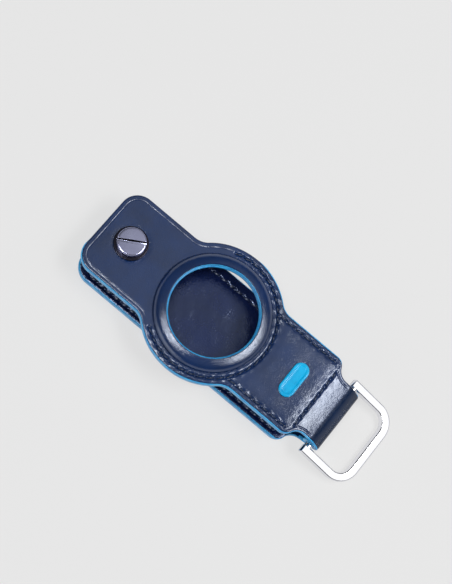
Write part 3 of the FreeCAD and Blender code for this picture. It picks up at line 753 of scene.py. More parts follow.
def left_of(along: Array) -> Array:
    """Give the unit direction to the left of each direction."""
    along = along / np.linalg.norm(along, axis=1)[:, None]
    return np.stack([-along[:, 1], along[:, 0]], axis=1)


def sorted_places(spots: Array) -> KDTree:
    """Sort flat places so that the nearest one to a spot is soon found."""
    tree = KDTree(len(spots))
    for number, (run, side) in enumerate(spots):
        tree.insert((run, side, 0.0), number)
    tree.balance()
    return tree


def straight(start: tuple[float, float], end: tuple[float, float]) -> Array:
    """Give close points on a line."""
    first, last = np.array(start, float), np.array(end, float)
    count = max(2, int(np.linalg.norm(last - first) / CLOSE_STEP))
    return first + np.linspace(0, 1, count)[:, None] * (last - first)


def bow(centre: tuple[float, float], radius: float, start: float, end: float) -> Array:
    """Give close points on an arc, from one angle to another in degrees."""
    count = max(3, int(abs(radians(end - start)) * radius / CLOSE_STEP))
    turns = np.radians(np.linspace(start, end, count))
    return np.array(centre) + radius * np.stack([np.cos(turns), np.sin(turns)], axis=1)


def swing(start: Array, leave: Array, end: Array, arrive: Array) -> Array:
    """Give close points on a smooth curve with given directions at its ends."""
    share = np.linspace(0, 1, CURVE_POINTS)[:, None]
    pull = np.linalg.norm(end - start)
    square, cube = share ** 2, share ** 3
    return ((2 * cube - 3 * square + 1) * start + (cube - 2 * square + share) * leave * pull
            + (3 * square - 2 * cube) * end + (cube - square) * arrive * pull)


def walk(points: Array, step: float, closed: bool) -> Array:
    """Set points at an even step along a line of close points."""
    line = np.vstack([points, points[:1]]) if closed else points
    keep = np.concatenate([[True], np.linalg.norm(np.diff(line, axis=0), axis=1) > SAME_PLACE])
    line = line[keep]
    run = np.concatenate([[0], np.cumsum(np.linalg.norm(np.diff(line, axis=0), axis=1))])
    count = max(3, int(round(run[-1] / step)))
    spots = np.linspace(0, run[-1], count, endpoint=not closed)
    return np.stack([np.interp(spots, run, line[:, axis]) for axis in range(line.shape[1])], axis=1)


class Outline:
    """Closed painted edge of a strap, drawn flat, with the direction inwards at each point."""

    FINE = 0.12
    SLACK = 0.02

    def __init__(self, points: Array) -> None:
        """Keep close points that run with the strap on their left."""
        self.line = walk(points, self.FINE, closed=True)
        ahead = np.roll(self.line, -1, axis=0)
        area = np.sum(self.line[:, 0] * ahead[:, 1] - ahead[:, 0] * self.line[:, 1])
        if area < 0:
            self.line = self.line[::-1].copy()
        self.inward = left_of(np.roll(self.line, -1, axis=0) - np.roll(self.line, 1, axis=0))
        self.tree = sorted_places(self.line)

    def depth(self, spots: Array) -> Array:
        """Tell how far inside the edge each flat place is."""
        nearest = np.array([self.tree.find((run, side, 0.0))[1] for run, side in spots])
        return np.sum((spots - self.line[nearest]) * self.inward[nearest], axis=1)

    def samples(self, step: float) -> tuple[Array, Array]:
        """Give evenly spaced places on the edge and their inward directions."""
        every = max(1, int(round(step / self.FINE)))
        return self.line[::every], self.inward[::every]

    def ring(self, inset: float, step: float) -> Array:
        """Give the line that lies inside the edge by an inset."""
        line, inward = self.samples(step)
        moved = line + inward * inset
        return moved[self.depth(moved) > inset - self.SLACK]


class Profile:
    """Side view of a strap's outer face, from which flat places are bent into shape."""

    def __init__(self, line: Array, outward: int) -> None:
        """Measure the line.

        Args:
            line: (x, z) of close points from the tab's end to the ring.
            outward: 1 if the outer face looks to the line's left, -1 if to its right.
        """
        self.line = walk(line, CLOSE_STEP, closed=False)
        self.normal = outward * left_of(np.gradient(self.line, axis=0))
        steps = np.linalg.norm(np.diff(self.line, axis=0), axis=1)
        self.run = self.line[0, 0] + np.concatenate([[0], np.cumsum(steps)])
        self.turning = int(np.argmax(self.line[:, 0]))

    @property
    def end(self) -> float:
        """Give the run at the line's end."""
        return float(self.run[-1])

    def run_at(self, reach: Array) -> Array:
        """Give the run where the line first comes to a reach along X."""
        return np.interp(reach, self.line[:self.turning + 1, 0], self.run[:self.turning + 1])

    def place(self, run: Array, side: Array, height: Array) -> Array:
        """Bend flat places into shape.

        Args:
            run: Places along the strap.
            side: Places across it.
            height: Height over the outer face.

        Returns:
            Places in the frame, one row each.
        """
        base = [np.interp(run, self.run, self.line[:, axis]) for axis in range(2)]
        lean = [np.interp(run, self.run, self.normal[:, axis]) for axis in range(2)]
        along, up = base[0] + lean[0] * height, base[1] + lean[1] * height
        return np.stack([along, np.asarray(side, float), up], axis=-1)


@dataclass
class Seam:
    """A row of stitches: its dents in the leather and its thread."""

    PITCH = 2.75

    spots: Array
    facing: Facing = Facing.OUTER
    length: float = 2.1
    thread_radius: float = 0.21
    slant: float = 9.0
    dent_reach: float = 2.2
    groove: float = 0.14
    groove_width: float = 0.36
    groove_end: Fade = Fade(0.15, -0.4)
    hole: float = 0.45
    hole_width: float = 0.36
    hole_offset: float = 0.12
    pucker: float = 0.07
    pucker_offset: float = 0.78
    pucker_width: float = 0.34
    pucker_length: float = 0.8
    # Share and length of the pale glint painted on each stitch's crown.
    glint: float = 0.12
    glint_length: float = 0.22
    tuck: float = 0.1
    taper_power: float = 7.0
    blunt: float = 0.04
    ply: float = 0.14
    twist: float = 2.6
    set_in: float = 0.02
    dive: float = 0.45
    dive_power: float = 4.0
    thread_rings: int = 13
    thread_sides: int = 10

    @classmethod
    def along(cls, start: tuple[float, float], end: tuple[float, float]) -> Array:
        """Set stitches on a line: run, side and direction of each."""
        first, last = np.array(start), np.array(end)
        run = np.linalg.norm(last - first)
        count = int(run / cls.PITCH)
        shares = (np.arange(count) + 0.5) / count
        spots = first + shares[:, None] * (last - first)
        turn = atan2(last[1] - first[1], last[0] - first[0])
        return np.column_stack([spots, np.full(count, turn)])

    @classmethod
    def round(cls, radius: float, start: float, sweep: float) -> Array:
        """Set stitches clockwise on a circle round the window, angles in degrees."""
        step = degrees(cls.PITCH / radius)
        turns = np.radians(start - step * np.arange(int(sweep / step) + 1))
        return np.column_stack([radius * np.cos(turns), radius * np.sin(turns), turns + pi / 2])

    def relief(self, run: Array, side: Array) -> Array:
        """Give the dents and puckers that the stitches press into the face."""
        height = np.zeros(np.shape(run))
        reach = 0.5 * self.length
        for spot_run, spot_side, turn in self.spots:
            along = (run - spot_run) * cos(turn) + (side - spot_side) * sin(turn)
            across = (side - spot_side) * cos(turn) - (run - spot_run) * sin(turn)
            near = (np.abs(along) < self.dent_reach) & (np.abs(across) < self.dent_reach)
            along, across = along[near], across[near]
            past = np.abs(along) - reach
            channel = -self.groove * bell(across, self.groove_width) * self.groove_end.at(past)
            holes = -self.hole * bell(np.hypot(past - self.hole_offset, across), self.hole_width)
            beside = bell(np.abs(across) - self.pucker_offset, self.pucker_width)
            pillow = self.pucker * beside * bell(along, self.pucker_length)
            height[near] += channel + holes + pillow
        return height

    def thread(self, place: Place, level: float) -> tuple[Shell, Array]:
        """Build the thread of every stitch.

        Args:
            place: Bends flat places into shape.
            level: Height of the face that the stitches lie on.

        Returns:
            The thread's shell, and the share of the pale painted glint at each point.
        """
        stitches = []
        shares, turns = np.meshgrid(np.linspace(-1, 1, self.thread_rings), full_turn(self.thread_sides),
                                    indexing="ij")
        reach = 0.5 * self.length + self.tuck
        taper = np.sqrt(np.clip(1 + self.blunt - np.abs(shares) ** self.taper_power, self.blunt, 1))
        ply = 1 + self.ply * np.cos(2 * turns - self.twist * pi * shares)
        radius = self.thread_radius * taper * ply
        lift = -self.set_in - self.dive * np.abs(shares) ** self.dive_power
        # Painted glint: pale colour on the top of each stitch's middle.
        crown = self.glint * bell(shares, self.glint_length) * np.clip(np.sin(turns), 0, 1)
        for spot_run, spot_side, turn in self.spots:
            lean = turn + radians(self.slant)
            along, across = shares * reach, radius * np.cos(turns)
            run = spot_run + along * cos(lean) - across * sin(lean)
            side = spot_side + along * sin(lean) + across * cos(lean)
            height = level + self.facing.value * (lift + radius * np.sin(turns))
            stitches.append(tube(place(run, side, height)))
        return join(stitches), np.tile(crown.ravel(), len(self.spots))


@dataclass
class Panel:
    """A cut piece of leather: a flat outline with holes, filled with points, then bent."""

    SAME_SPOT = 1e-5
    BORDER_SLACK = 0.001

    outline: Outline
    insets: Sequence[float]
    step: float
    spacing: float
    holes: Sequence[tuple[float, float, float]] = ()
    circles: Sequence[tuple[float, float, float, float]] = ()
    patches: Sequence[Array] = ()
    loose_room: float = 0.055
    grid_room_share: float = 0.62
    grid_row_share: float = 0.866
    least_points: int = 24

    def circle(self, run: float, side: float, radius: float, step: float) -> Array:
        """Give even points on a circle."""
        turns = full_turn(max(self.least_points, int(2 * pi * radius / step)))
        return np.column_stack([run + radius * np.cos(turns), side + radius * np.sin(turns)])

    def flat_points(self) -> tuple[Array, list[Array]]:
        """Gather the flat points.

        Returns:
            The points, and the point numbers of each boundary.
        """
        fixed = self.outline.ring(self.insets[0], self.step)
        borders = [np.arange(len(fixed))]
        for run, side, radius in self.holes:
            hole = self.circle(run, side, radius, self.step)
            borders.append(np.arange(len(fixed), len(fixed) + len(hole)))
            fixed = np.vstack([fixed, hole])
        loose = [self.outline.ring(inset, self.step) for inset in self.insets[1:]]
        loose += [self.circle(*row) for row in self.circles]
        loose += list(self.patches)
        kept = self.thin(fixed, loose, self.loose_room)
        kept = self.thin(kept, [self.grid()], self.grid_room_share * self.spacing)
        return kept, borders

    def grid(self) -> Array:
        """Give an even honeycomb of points over the outline's box."""
        low, high = self.outline.line.min(axis=0), self.outline.line.max(axis=0)
        rows = np.arange(low[1], high[1], self.spacing * self.grid_row_share)
        spots = []
        for number, side in enumerate(rows):
            runs = np.arange(low[0] + (number % 2) * self.spacing / 2, high[0], self.spacing)
            spots.append(np.column_stack([runs, np.full(len(runs), side)]))
        return np.vstack(spots)

    def inside(self, spots: Array, margin: float) -> Array:
        """Tell which flat places lie on the leather, clear of its borders by a margin."""
        good = self.outline.depth(spots) > self.insets[0] + margin
        for run, side, radius in self.holes:
            good &= np.hypot(spots[:, 0] - run, spots[:, 1] - side) > radius + margin
        return good

    def thin(self, kept: Array, groups: Sequence[Array], room: float) -> Array:
        """Add each group's points that lie on the leather and not too close to points before them."""
        for group in groups:
            group = group[self.inside(group, 0.5 * room)]
            tree = sorted_places(kept)
            free = [tree.find((run, side, 0.0))[2] > room for run, side in group]
            kept = np.vstack([kept, group[np.array(free, bool)]]) if len(group) else kept
        return kept

    def build(self, place: Place, top: Heights, low: Heights) -> tuple[Shell, Array]:
        """Fill the outline with faces and bend it.

        Args:
            place: Bends flat places into shape.
            top: Height of the outer face over flat places.
            low: Height of the inner face.

        Returns:
            The panel's shell, and the flat place of each point.
        """
        spots, borders = self.flat_points()
        edges = [(int(a), int(b)) for border in borders for a, b in zip(border, np.roll(border, -1))]
        cut = delaunay_2d_cdt([Vector(spot) for spot in spots], edges, [], 0, self.SAME_SPOT)
        flat = np.array([tuple(corner) for corner in cut[0]])
        faces = np.array([face for face in cut[2] if len(face) == 3])
        faces = faces[self.inside(flat[faces].mean(axis=1), -self.BORDER_SLACK)]
        count = len(flat)
        outer = place(flat[:, 0], flat[:, 1], top(flat[:, 0], flat[:, 1]))
        inner = place(flat[:, 0], flat[:, 1], low(flat[:, 0], flat[:, 1]))
        open_sides: dict[tuple[int, int], bool] = {}
        for a, b, c in faces.tolist():
            for start, end in ((a, b), (b, c), (c, a)):
                if not open_sides.pop((end, start), False):
                    open_sides[(start, end)] = True
        walls = [[end, start, start + count, end + count] for start, end in open_sides]
        all_faces = faces.tolist() + (faces[:, ::-1] + count).tolist() + walls
        used = sorted({number for face in all_faces for number in face})
        renumber = {number: position for position, number in enumerate(used)}
        points = np.vstack([outer, inner])[used]
        closed = [[renumber[number] for number in face] for face in all_faces]
        return (points, closed), flat[[number % count for number in used]]


def everywhere(height: float) -> Heights:
    """Give the same height at every flat place."""
    return lambda run, side: np.full(np.shape(run), height)


@dataclass(frozen=True)
class BeadShape:
    """Section of a bead of edge paint, and its step along the edge."""

    step: float = 0.36
    root: float = 0.1
    lip_share: float = 0.9
    half_turn: float = 80.0
    points: int = 11
    fullness: float = 0.5
    squareness: float = 0.7
    ledge: float = 0.04
    wobble: Wave = Wave(0.015, 6.0, (1.7, 1.7))
    bare_share: float = 0.7


BEAD = BeadShape()


def edge_bead(outline: Outline, place: Place, top: Heights, low: Heights, wrap: Heights,
              thick: float, bare: Heights = everywhere(0.0),
              inner_wrap: Heights = everywhere(0.0)) -> Shell:
    """Build the bead of paint on a strap's edge.

    Args:
        outline: The painted edge.
        place: Bends flat places into shape.
        top: Height of the bead's outer lip along the edge.
        low: Height of its inner lip.
        wrap: How far the outer lip laps over the leather's face.
        thick: Thickness of the paint.
        bare: Where the paint stays back behind the leather, from 0 to 1.
        inner_wrap: How far the inner lip laps over the other face.

    Returns:
        Points and faces.
    """
    line, inward = outline.samples(BEAD.step)
    run, side = line[:, 0], line[:, 1]
    high, deep, lap, tuck = top(run, side), low(run, side), wrap(run, side), inner_wrap(run, side)
    wobble = BEAD.wobble.at(run, side)
    middle, half = (high + deep) / 2, (high - deep) / 2
    root, lip = thick + BEAD.root, thick * BEAD.lip_share
    rows = [(root + lap, high - BEAD.root), (lip + lap, high)]
    for angle in np.radians(np.linspace(BEAD.half_turn, -BEAD.half_turn, BEAD.points)):
        hollow = 1 - abs(cos(angle)) ** BEAD.fullness
        lift = copysign(abs(sin(angle)) ** BEAD.squareness, sin(angle))
        rows.append((hollow * (thick + BEAD.ledge) - np.minimum(wobble, 0), middle + half * lift))
    rows += [(lip + tuck, deep), (root + tuck, deep + BEAD.root)]
    rings = []
    back = BEAD.bare_share * thick * bare(run, side)
    for inset, height in rows:
        spots = line + inward * np.reshape(inset + back, (-1, 1))
        rings.append(place(spots[:, 0], spots[:, 1], height))
    grid = np.stack(rings, axis=1)
    count, across = grid.shape[:2]
    faces = []
    for number in range(count):
        after = (number + 1) % count
        for row in range(across):
            beside = (row + 1) % across
            faces.append([number * across + row, after * across + row,
                          after * across + beside, number * across + beside])
    return grid.reshape(-1, 3), faces


class Strap:
    """What the front and back straps share: a flat outline, a profile and edge paint."""

    MESH_STEP = 0.36
    SCREW_STEP = 0.5

    half_width: float
    end_reach: float
    plate_reach: float
    paint_rise: float
    loop_paint: float
    loop_paint_fade: Fade
    outline: Outline
    corner: float = 5.5
    neck_half: float = 9.6
    shoulder: float = 3.4
    coat: float = 0.25
    coat_overlap: float = 0.03
    lining_gap: float = 0.1
    glue_gap: float = 0.01
    neck_fade: Fade = Fade(-2.2, 0.6)

    def plain_half_edge(self, profile: Profile) -> Array:
        """Draw the upper half edge from the shoulder to the neck's end."""
        step = (self.half_width - self.neck_half) / 2
        reach = sqrt(self.shoulder ** 2 - (self.shoulder - step) ** 2)
        lean = degrees(asin(reach / self.shoulder))
        outer = (self.plate_reach - reach, self.half_width - self.shoulder)
        inner = (self.plate_reach + reach, self.neck_half + self.shoulder)
        first = bow(outer, self.shoulder, 90, 90 - lean)
        second = bow(inner, self.shoulder, 270 - lean, 270)
        plan = np.vstack([first, second])
        plan[:, 0] = profile.run_at(plan[:, 0])
        return np.vstack([plan, straight(tuple(plan[-1]), (profile.end, self.neck_half))])

    def tab_half_edge(self) -> Array:
        """Draw the upper half edge at the strap's free end."""
        start = straight((self.end_reach, 0.0), (self.end_reach, self.half_width - self.corner))
        turn = bow((self.end_reach + self.corner, self.half_width - self.corner), self.corner, 180, 90)
        return np.vstack([start, turn])

    def lay_lining(self, level: float) -> tuple[Outline, Place]:
        """Cut a lining off square, short of the neck.

        Args:
            level: Height of its glued face in the frame.

        Returns:
            The lining's outline, and how its flat places lie.
        """
        end = self.plate_reach - self.lining_gap
        line = self.outline.line

        def place(run: Array, side: Array, height: Array) -> Array:
            """Keep the lining flat; heights are over the glued face."""
            return np.stack([np.minimum(run, end), side, level + height], axis=-1)

        return Outline(np.column_stack([np.minimum(line[:, 0], end), line[:, 1]])), place

    def edge_depth(self, run: Array, side: Array) -> Array:
        """Tell how far inside the leather's edge flat places are."""
        return self.outline.depth(np.column_stack([run, side])) - self.coat

    def paint_lip(self, run: Array, both: float, single: float) -> Array:
        """Give the paint's inner height, which steps from both layers to the neck and the thin loop."""
        neck = (both - single) * self.neck_fade.at(run - self.plate_reach)
        loop = (single - self.loop_paint) * self.loop_paint_fade.at(run)
        return -both + self.paint_rise + neck + loop


@dataclass
class FrontStrap(Strap):
    """Front strap: tab, round bezel with its window, plate, and the neck that folds over the bar."""

    SKIN_SPACING = 0.62
    SKIN_INSETS = (0.3, 0.4, 0.52, 0.68, 0.85, 1.05, 1.22, 1.32, 1.39, 1.45, 1.51, 1.58, 1.66, 1.78, 1.95,
                   2.15, 2.4)
    BEZEL_RINGS = 22
    BEZEL_RING_POWER = 1.5
    SEAM_RINGS = (16.8, 18.9, 0.2)
    SEAM_STEP = 0.3
    SCREW_RINGS = (2.6, 4.3, 4.7, 5.1, 5.5, 6.0)
    KINK_ROWS = (-1.7, 0.3, 0.22)
    KINK_MARGIN = 0.5
    KINK_STEP = 0.26
    LINING_INSETS = (0.4, 0.6, 0.9, 1.4)
    LINING_STEP = 0.6
    LINING_SPACING = 1.3
    HOLLOW_RINGS = (13.5, 13.8, 14.1, 14.4, 14.7, 15.0, 15.4, 16.0)
    WINDOW_STEPS = 180
    BEAD_ROOT = ((0.25, -0.12), (0.18, 0.08))
    UPPER_LIP = ((0.2, 0.06), (0.07, 0.0), (0.0, -0.16))
    UPPER_FOOT = ((0.0, 0.2), (0.05, 0.08), (0.2, 0.0))
    LOWER_LIP = ((0.12, -0.02), (0.02, -0.12), (0.0, -0.25))
    LOWER_FOOT = ((0.0, 0.2), (0.06, 0.06), (0.2, 0.0))
    BEAD_END = ((0.1, 0.04),)

    half_width: float = 13.3
    end_reach: float = edge_of("front_edge_coat", End.LOW, Axis.ALONG)
    plate_reach: float = edge_of("front_leather", End.HIGH, Axis.ALONG)
    bulge_radius: float = edge_of("front_edge_coat", End.HIGH, Axis.ACROSS)
    bulge_blend: float = 5.5
    top: float = edge_of("front_edge_coat", End.HIGH, Axis.UP)
    seam: float = edge_of("front_leather", End.LOW, Axis.UP)
    floor: float = edge_of("front_lining", End.LOW, Axis.UP)
    crest: float = edge_of("front_leather", End.HIGH, Axis.UP)
    lip: float = edge_of("window_edge_coat", End.HIGH, Axis.UP)
    lip_low: float = edge_of("window_edge_coat", End.LOW, Axis.UP)
    window_cut: float = edge_of("window_edge_coat", End.HIGH, Axis.ALONG)
    bezel_foot: float = 16.62
    bezel_crest: float = 13.25
    bezel_turn: float = 14.75
    crest_slope: float = 11.0
    crest_curve: float = 0.04
    foot_lean_share: float = 0.30
    foot_power: float = 2.2
    lip_drop: float = 0.16
    hollow: float = 14.7
    hollow_wall: Fade = Fade(0.35, -0.15)
    bend: float = 3.0
    first_slope: float = 8.5
    long_bend: float = 42.0
    second_slope: float = 15.5
    crown_bend: float = 5.5
    least_turn: float = 2.0
    steepest: float = 75.0
    slope_step: float = 0.1
    seam_radius: float = 17.95
    seam_start: float = 105.0
    seam_sweep: float = 235.0
    side_inset: float = 1.85
    end_inset: float = 0.7
    edge_round: float = 0.45
    edge_drop_share: float = 0.6
    swell: Wave = Wave(0.035, 16.0)
    swell_start: Fade = Fade(0.0, 1.5)
    pad_height: float = 0.16
    pad_inset: Fade = Fade(1.4, 4.2)
    pad_seam: Fade = Fade(0.4, 3.0)
    pad_start: Fade = Fade(17.0, 19.0)
    pad_end: Fade = Fade(-0.6, -3.4)
    crease_inset: float = 1.55
    crease_dent: Ridge = Ridge(-0.13, 0.09, -0.01)
    crease_lip: Ridge = Ridge(0.06, 0.09, -0.13)
    crease_far_stop: float = -6.0
    crease_near_stop: float = -13.2
    crease_end: Fade = Fade(0.0, -2.2)
    corner_early: float = 0.8
    corner_late: float = 1.4
    corner_calm: float = 0.6
    # A pale highlight painted along the pressed line, broken here and there.
    painted_highlight_line: Ridge = Ridge(1.0, 0.08, -0.1)
    painted_highlight_level: float = 0.6
    painted_highlight_least: float = 0.2
    painted_highlight_wave: Wave = Wave(0.5, 9.0, (2.3, 2.3))
    neck_line: Ridge = Ridge(-0.15, 0.22, 1.0)
    neck_line_start: Fade = Fade(-2.5, -0.5)
    neck_line_end: Fade = Fade(42.5, 40.5)
    fold_wave: Wave = Wave(0.012, 3.0, (2.2, 1.6))
    fold_start: Fade = Fade(0.0, 1.5)
    fold_end: Fade = Fade(44.0, 42.0)
    screw_hole: float = 2.0
    dimple: float = 0.12
    dimple_edge: Fade = Fade(6.0, 4.6)
    # Where the painted shade of the loop's darker leather begins.
    painted_shade_start: float = 42.2
    loop_skin: float = 0.25
    loop_thinning: Fade = Fade(40.2, 43.2)
    lining_overlap: float = 0.02
    lining_wall: Fade = Fade(0.3, -0.2)
    lining_hollow: Fade = Fade(-0.4, -1.1)
    lining_edge: Ridge = Ridge(0.3, 0.3)
    lining_swell: Wave = Wave(0.05, 11.0)
    lining_swell_start: Fade = Fade(15.0, 17.0)
    paint_set_back: float = 0.1
    paint_rise: float = 0.05
    loop_paint: float = 0.45
    loop_paint_fade: Fade = Fade(41.0, 43.5)
    lap: float = 0.2
    lap_start: Fade = Fade(-3.0, 6.0)
    lap_wave: Wave = Wave(0.25, 7.0)
    least_lap: float = 0.02
    bare_drop: float = 0.6
    bare_tab: Fade = Fade(3.0, -4.0)
    bare_tab_side: Fade = Fade(-9.0, -4.0)
    bare_neck: Fade = Fade(35.5, 37.5)
    bare_neck_side: Fade = Fade(4.0, 7.0)
    lower_bead: float = 0.28
    bead_split: float = 0.7
    flex_behind: float = 1.5
    flex_ahead: float = 1.4

    def __post_init__(self) -> None:
        """Work out the profile, the outline and the seams."""
        self.bar = joint_place("ring_swing")[[0, 2]]
        self.loop_radius = float(span("ring_loop")[1][0]) - self.bar[0]
        self.screw_reach = float(middle_of("screw_washer")[0])
        self.profile = Profile(self.side_line(), outward=1)
        self.outline = Outline(both_halves(np.vstack([
            self.tab_half_edge(), self.bulge_half_edge(), self.plain_half_edge(self.profile)])))
        plate_side = self.half_width - self.side_inset
        plate_end = self.plate_reach - self.end_inset
        side_start = sqrt(self.seam_radius ** 2 - plate_side ** 2) + Seam.PITCH / 4
        side_end = plate_end - self.shoulder / 2
        end_side = plate_side - self.shoulder / 2
        self.bezel_seam = Seam(Seam.round(self.seam_radius, self.seam_start, self.seam_sweep),
                               pucker=0.13, groove=0.18)
        self.plate_seam = Seam(np.vstack([
            Seam.along((side_start, plate_side), (side_end, plate_side)),
            Seam.along((plate_end, end_side), (plate_end, -end_side)),
            Seam.along((side_end, -plate_side), (side_start, -plate_side))]))

    def side_line(self) -> Array:
        """Draw the outer face from the tab over the plate and round the bar to its underside."""
        seam = self.plate_reach - self.end_inset
        flat = straight((self.end_reach, self.top), (seam, self.top))
        kink = bow((seam, self.top - self.bend), self.bend, 90, 90 - self.first_slope)
        slide = self.next_bow(kink[-1], self.long_bend, self.first_slope, self.second_slope)
        for slope in np.arange(self.second_slope + self.least_turn, self.steepest, self.slope_step):
            crown = self.next_bow(slide[-1], self.crown_bend, self.second_slope, float(slope))
            outward = np.array([sin(radians(slope)), cos(radians(slope))])
            if (crown[-1] - self.bar) @ outward < self.loop_radius:
                break
        wrap = bow(tuple(self.bar), self.loop_radius, 90 - slope, -90)
        return np.vstack([flat, kink, slide, crown, straight(tuple(crown[-1]), tuple(wrap[0])), wrap])

    @staticmethod
    def next_bow(start: Array, radius: float, slope: float, end_slope: float) -> Array:
        """Go on from a point with an arc that falls from one slope to a steeper one, in degrees."""
        turn = radians(90 - slope)
        centre = start - radius * np.array([cos(turn), sin(turn)])
        return bow(tuple(centre), radius, 90 - slope, 90 - end_slope)

    def bulge_half_edge(self) -> Array:
        """Draw the upper half edge of the round part, blended into the strap on both sides."""
        reach = self.bulge_radius + self.bulge_blend
        height = self.half_width + self.bulge_blend
        run = sqrt(reach ** 2 - height ** 2)
        meet = degrees(atan2(height, run))
        west = bow((-run, height), self.bulge_blend, 270, 360 - meet)
        crown = bow((0.0, 0.0), self.bulge_radius, 180 - meet, meet)
        east = bow((run, height), self.bulge_blend, 180 + meet, 270)
        return np.vstack([west, crown, east])

    def bezel_rise(self, reach: Array) -> Array:
        """Give the bezel's height over the flat leather at a distance from the window's centre."""

        def fall(distance: Array) -> Array:
            """Give the drop from the crest at a distance outside it."""
            return distance * (tan(radians(self.crest_slope)) + self.crest_curve * distance)

        rise = self.crest - self.top
        crest_width = self.bezel_turn - self.bezel_crest
        foot_width = self.bezel_foot - self.bezel_turn
        crown = rise - fall(np.clip(reach - self.bezel_crest, 0, crest_width))
        brink = rise - fall(crest_width)
        share = np.clip((reach - self.bezel_turn) / foot_width, 0, 1)
        lean = self.foot_lean_share * foot_width
        curve = lean * share + (brink - lean) * (1 - np.sqrt(np.clip(1 - share ** self.foot_power, 0, 1)))
        outer = np.where(reach > self.bezel_turn, brink - curve, crown)
        inside = np.clip(self.bezel_crest - reach, 0, None) / (self.bezel_crest - self.window_cut)
        return outer - self.lip_drop * np.square(inside)

    def crease_mask(self, run: Array, side: Array) -> Array:
        """Tell where the pressed line is: along the tab's sides and end, and on to the bezel's seam."""
        corner_run = self.end_reach + self.corner
        corner_side = self.half_width - self.corner
        by_run = Fade(corner_run + self.corner_early, corner_run - self.corner_late)
        by_side = Fade(corner_side - self.corner_early, corner_side + self.corner_late)
        in_corner = by_run.at(run) * by_side.at(np.abs(side))
        stop = np.where(side > 0, self.crease_far_stop, self.crease_near_stop)
        return self.crease_end.at(run - stop) * (1 - self.corner_calm * in_corner)

    def outer_height(self, run: Array, side: Array) -> Array:
        """Give the height of the outer face over the flat leather."""
        depth = self.edge_depth(run, side)
        reach = np.hypot(run, side)
        past_plate = run - self.plate_reach
        short = np.clip(self.edge_round - depth, 0, self.edge_round)
        edge = self.edge_round - np.sqrt(np.clip(self.edge_round ** 2 - short ** 2, 0, None))
        height = -self.edge_drop_share * edge
        height += self.bezel_rise(reach)
        flat = self.swell_start.at(reach - self.bezel_foot)
        height += flat * self.swell.at(run, side)
        pad = self.pad_inset.at(depth) * self.pad_seam.at(reach - self.seam_radius)
        height += self.pad_height * pad * self.pad_start.at(run) * self.pad_end.at(past_plate)
        line = depth + self.coat - self.crease_inset
        height += self.crease_mask(run, side) * (self.crease_lip.at(line) + self.crease_dent.at(line))
        neck = self.neck_line_start.at(past_plate) * self.neck_line_end.at(run)
        height += neck * self.neck_line.at(depth)
        fold = self.fold_start.at(past_plate) * self.fold_end.at(run)
        height += fold * self.fold_wave.at(run, side)
        height -= self.dimple * self.dimple_edge.at(np.hypot(run - self.screw_reach, side))
        height += self.bezel_seam.relief(run, side) + self.plate_seam.relief(run, side)
        return height

    def inner_height(self, run: Array, side: Array) -> Array:
        """Give the height of the leather's inner face, hollow under the bezel and thin on the loop."""
        thick = self.top - self.seam
        hollow = (self.crest - self.top) * self.hollow_wall.at(np.hypot(run, side) - self.hollow)
        return -thick + hollow + (thick - self.loop_skin) * self.loop_thinning.at(run)

    def rub(self, flat: Array) -> Array:
        """Tell where a pale highlight is painted on the pressed line, here more and there less."""
        run, side = flat[:, 0], flat[:, 1]
        line = self.outline.depth(flat) - self.crease_inset
        broken = np.clip(self.painted_highlight_level + self.painted_highlight_wave.at(run, side), self.painted_highlight_least, 1.0)
        return self.crease_mask(run, side) * self.painted_highlight_line.at(line) * broken

    def cuts(self) -> list[tuple[float, float, float]]:
        """Give the window and the screw's hole: run, side and radius of each."""
        return [(0.0, 0.0, self.window_cut - self.coat_overlap), (self.screw_reach, 0.0, self.screw_hole)]

    def build_skin(self) -> Piece:
        """Build the outer leather with its neck."""
        insets = [self.coat - self.coat_overlap, *self.SKIN_INSETS]
        bezel_width = self.bezel_foot - self.window_cut
        shares = [(number / self.BEZEL_RINGS) ** self.BEZEL_RING_POWER for number in range(self.BEZEL_RINGS)]
        circles = [(0.0, 0.0, self.bezel_foot - bezel_width * share, self.MESH_STEP) for share in shares]
        circles += [(0.0, 0.0, radius, self.SEAM_STEP) for radius in np.arange(*self.SEAM_RINGS)]
        circles += [(self.screw_reach, 0.0, radius, self.SCREW_STEP) for radius in self.SCREW_RINGS]
        first_row, last_row, row_step = self.KINK_ROWS
        rows = np.arange(self.plate_reach + first_row, self.plate_reach + last_row, row_step)
        half = self.neck_half + self.KINK_MARGIN
        patch = np.array([(run, side) for run in rows for side in np.arange(-half, half, self.KINK_STEP)])
        panel = Panel(self.outline, insets, step=self.MESH_STEP, spacing=self.SKIN_SPACING,
                      holes=self.cuts(), circles=circles, patches=[patch])
        shell, flat = panel.build(self.profile.place, self.outer_height, self.inner_height)
        # The skin carries the pale highlight painted on the pressed line.
        piece = make_piece("front_skin", shell, STRAP_LEATHER, Slot.STRAP, rub=self.rub(flat))
        # Faces on the loop get the darker copy of the leather: painted shade.
        piece.data.materials.append(SHADED_LOOP_LEATHER.material())
        for face in piece.data.polygons:
            if flat[list(face.vertices), 0].mean() > self.painted_shade_start:
                face.material_index = 1
        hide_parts("front_leather", "front_neck")
        return piece

    def build_lining(self) -> Piece:
        """Build the lining behind the plate, the tab and the bezel."""

        def top(run: Array, side: Array) -> Array:
            """Give the glued face's height."""
            hollow = self.lining_wall.at(np.hypot(run, side) - self.hollow)
            return -self.glue_gap + (self.crest - self.top) * hollow

        def low(run: Array, side: Array) -> Array:
            """Give the inner face's height."""
            reach = np.hypot(run, side)
            hollow = (self.lip_low - self.floor) * self.lining_hollow.at(reach - self.hollow)
            edge = self.lining_edge.at(self.edge_depth(run, side))
            swell = self.lining_swell.at(run, side) * self.lining_swell_start.at(reach)
            return self.floor - self.seam + hollow + edge + swell

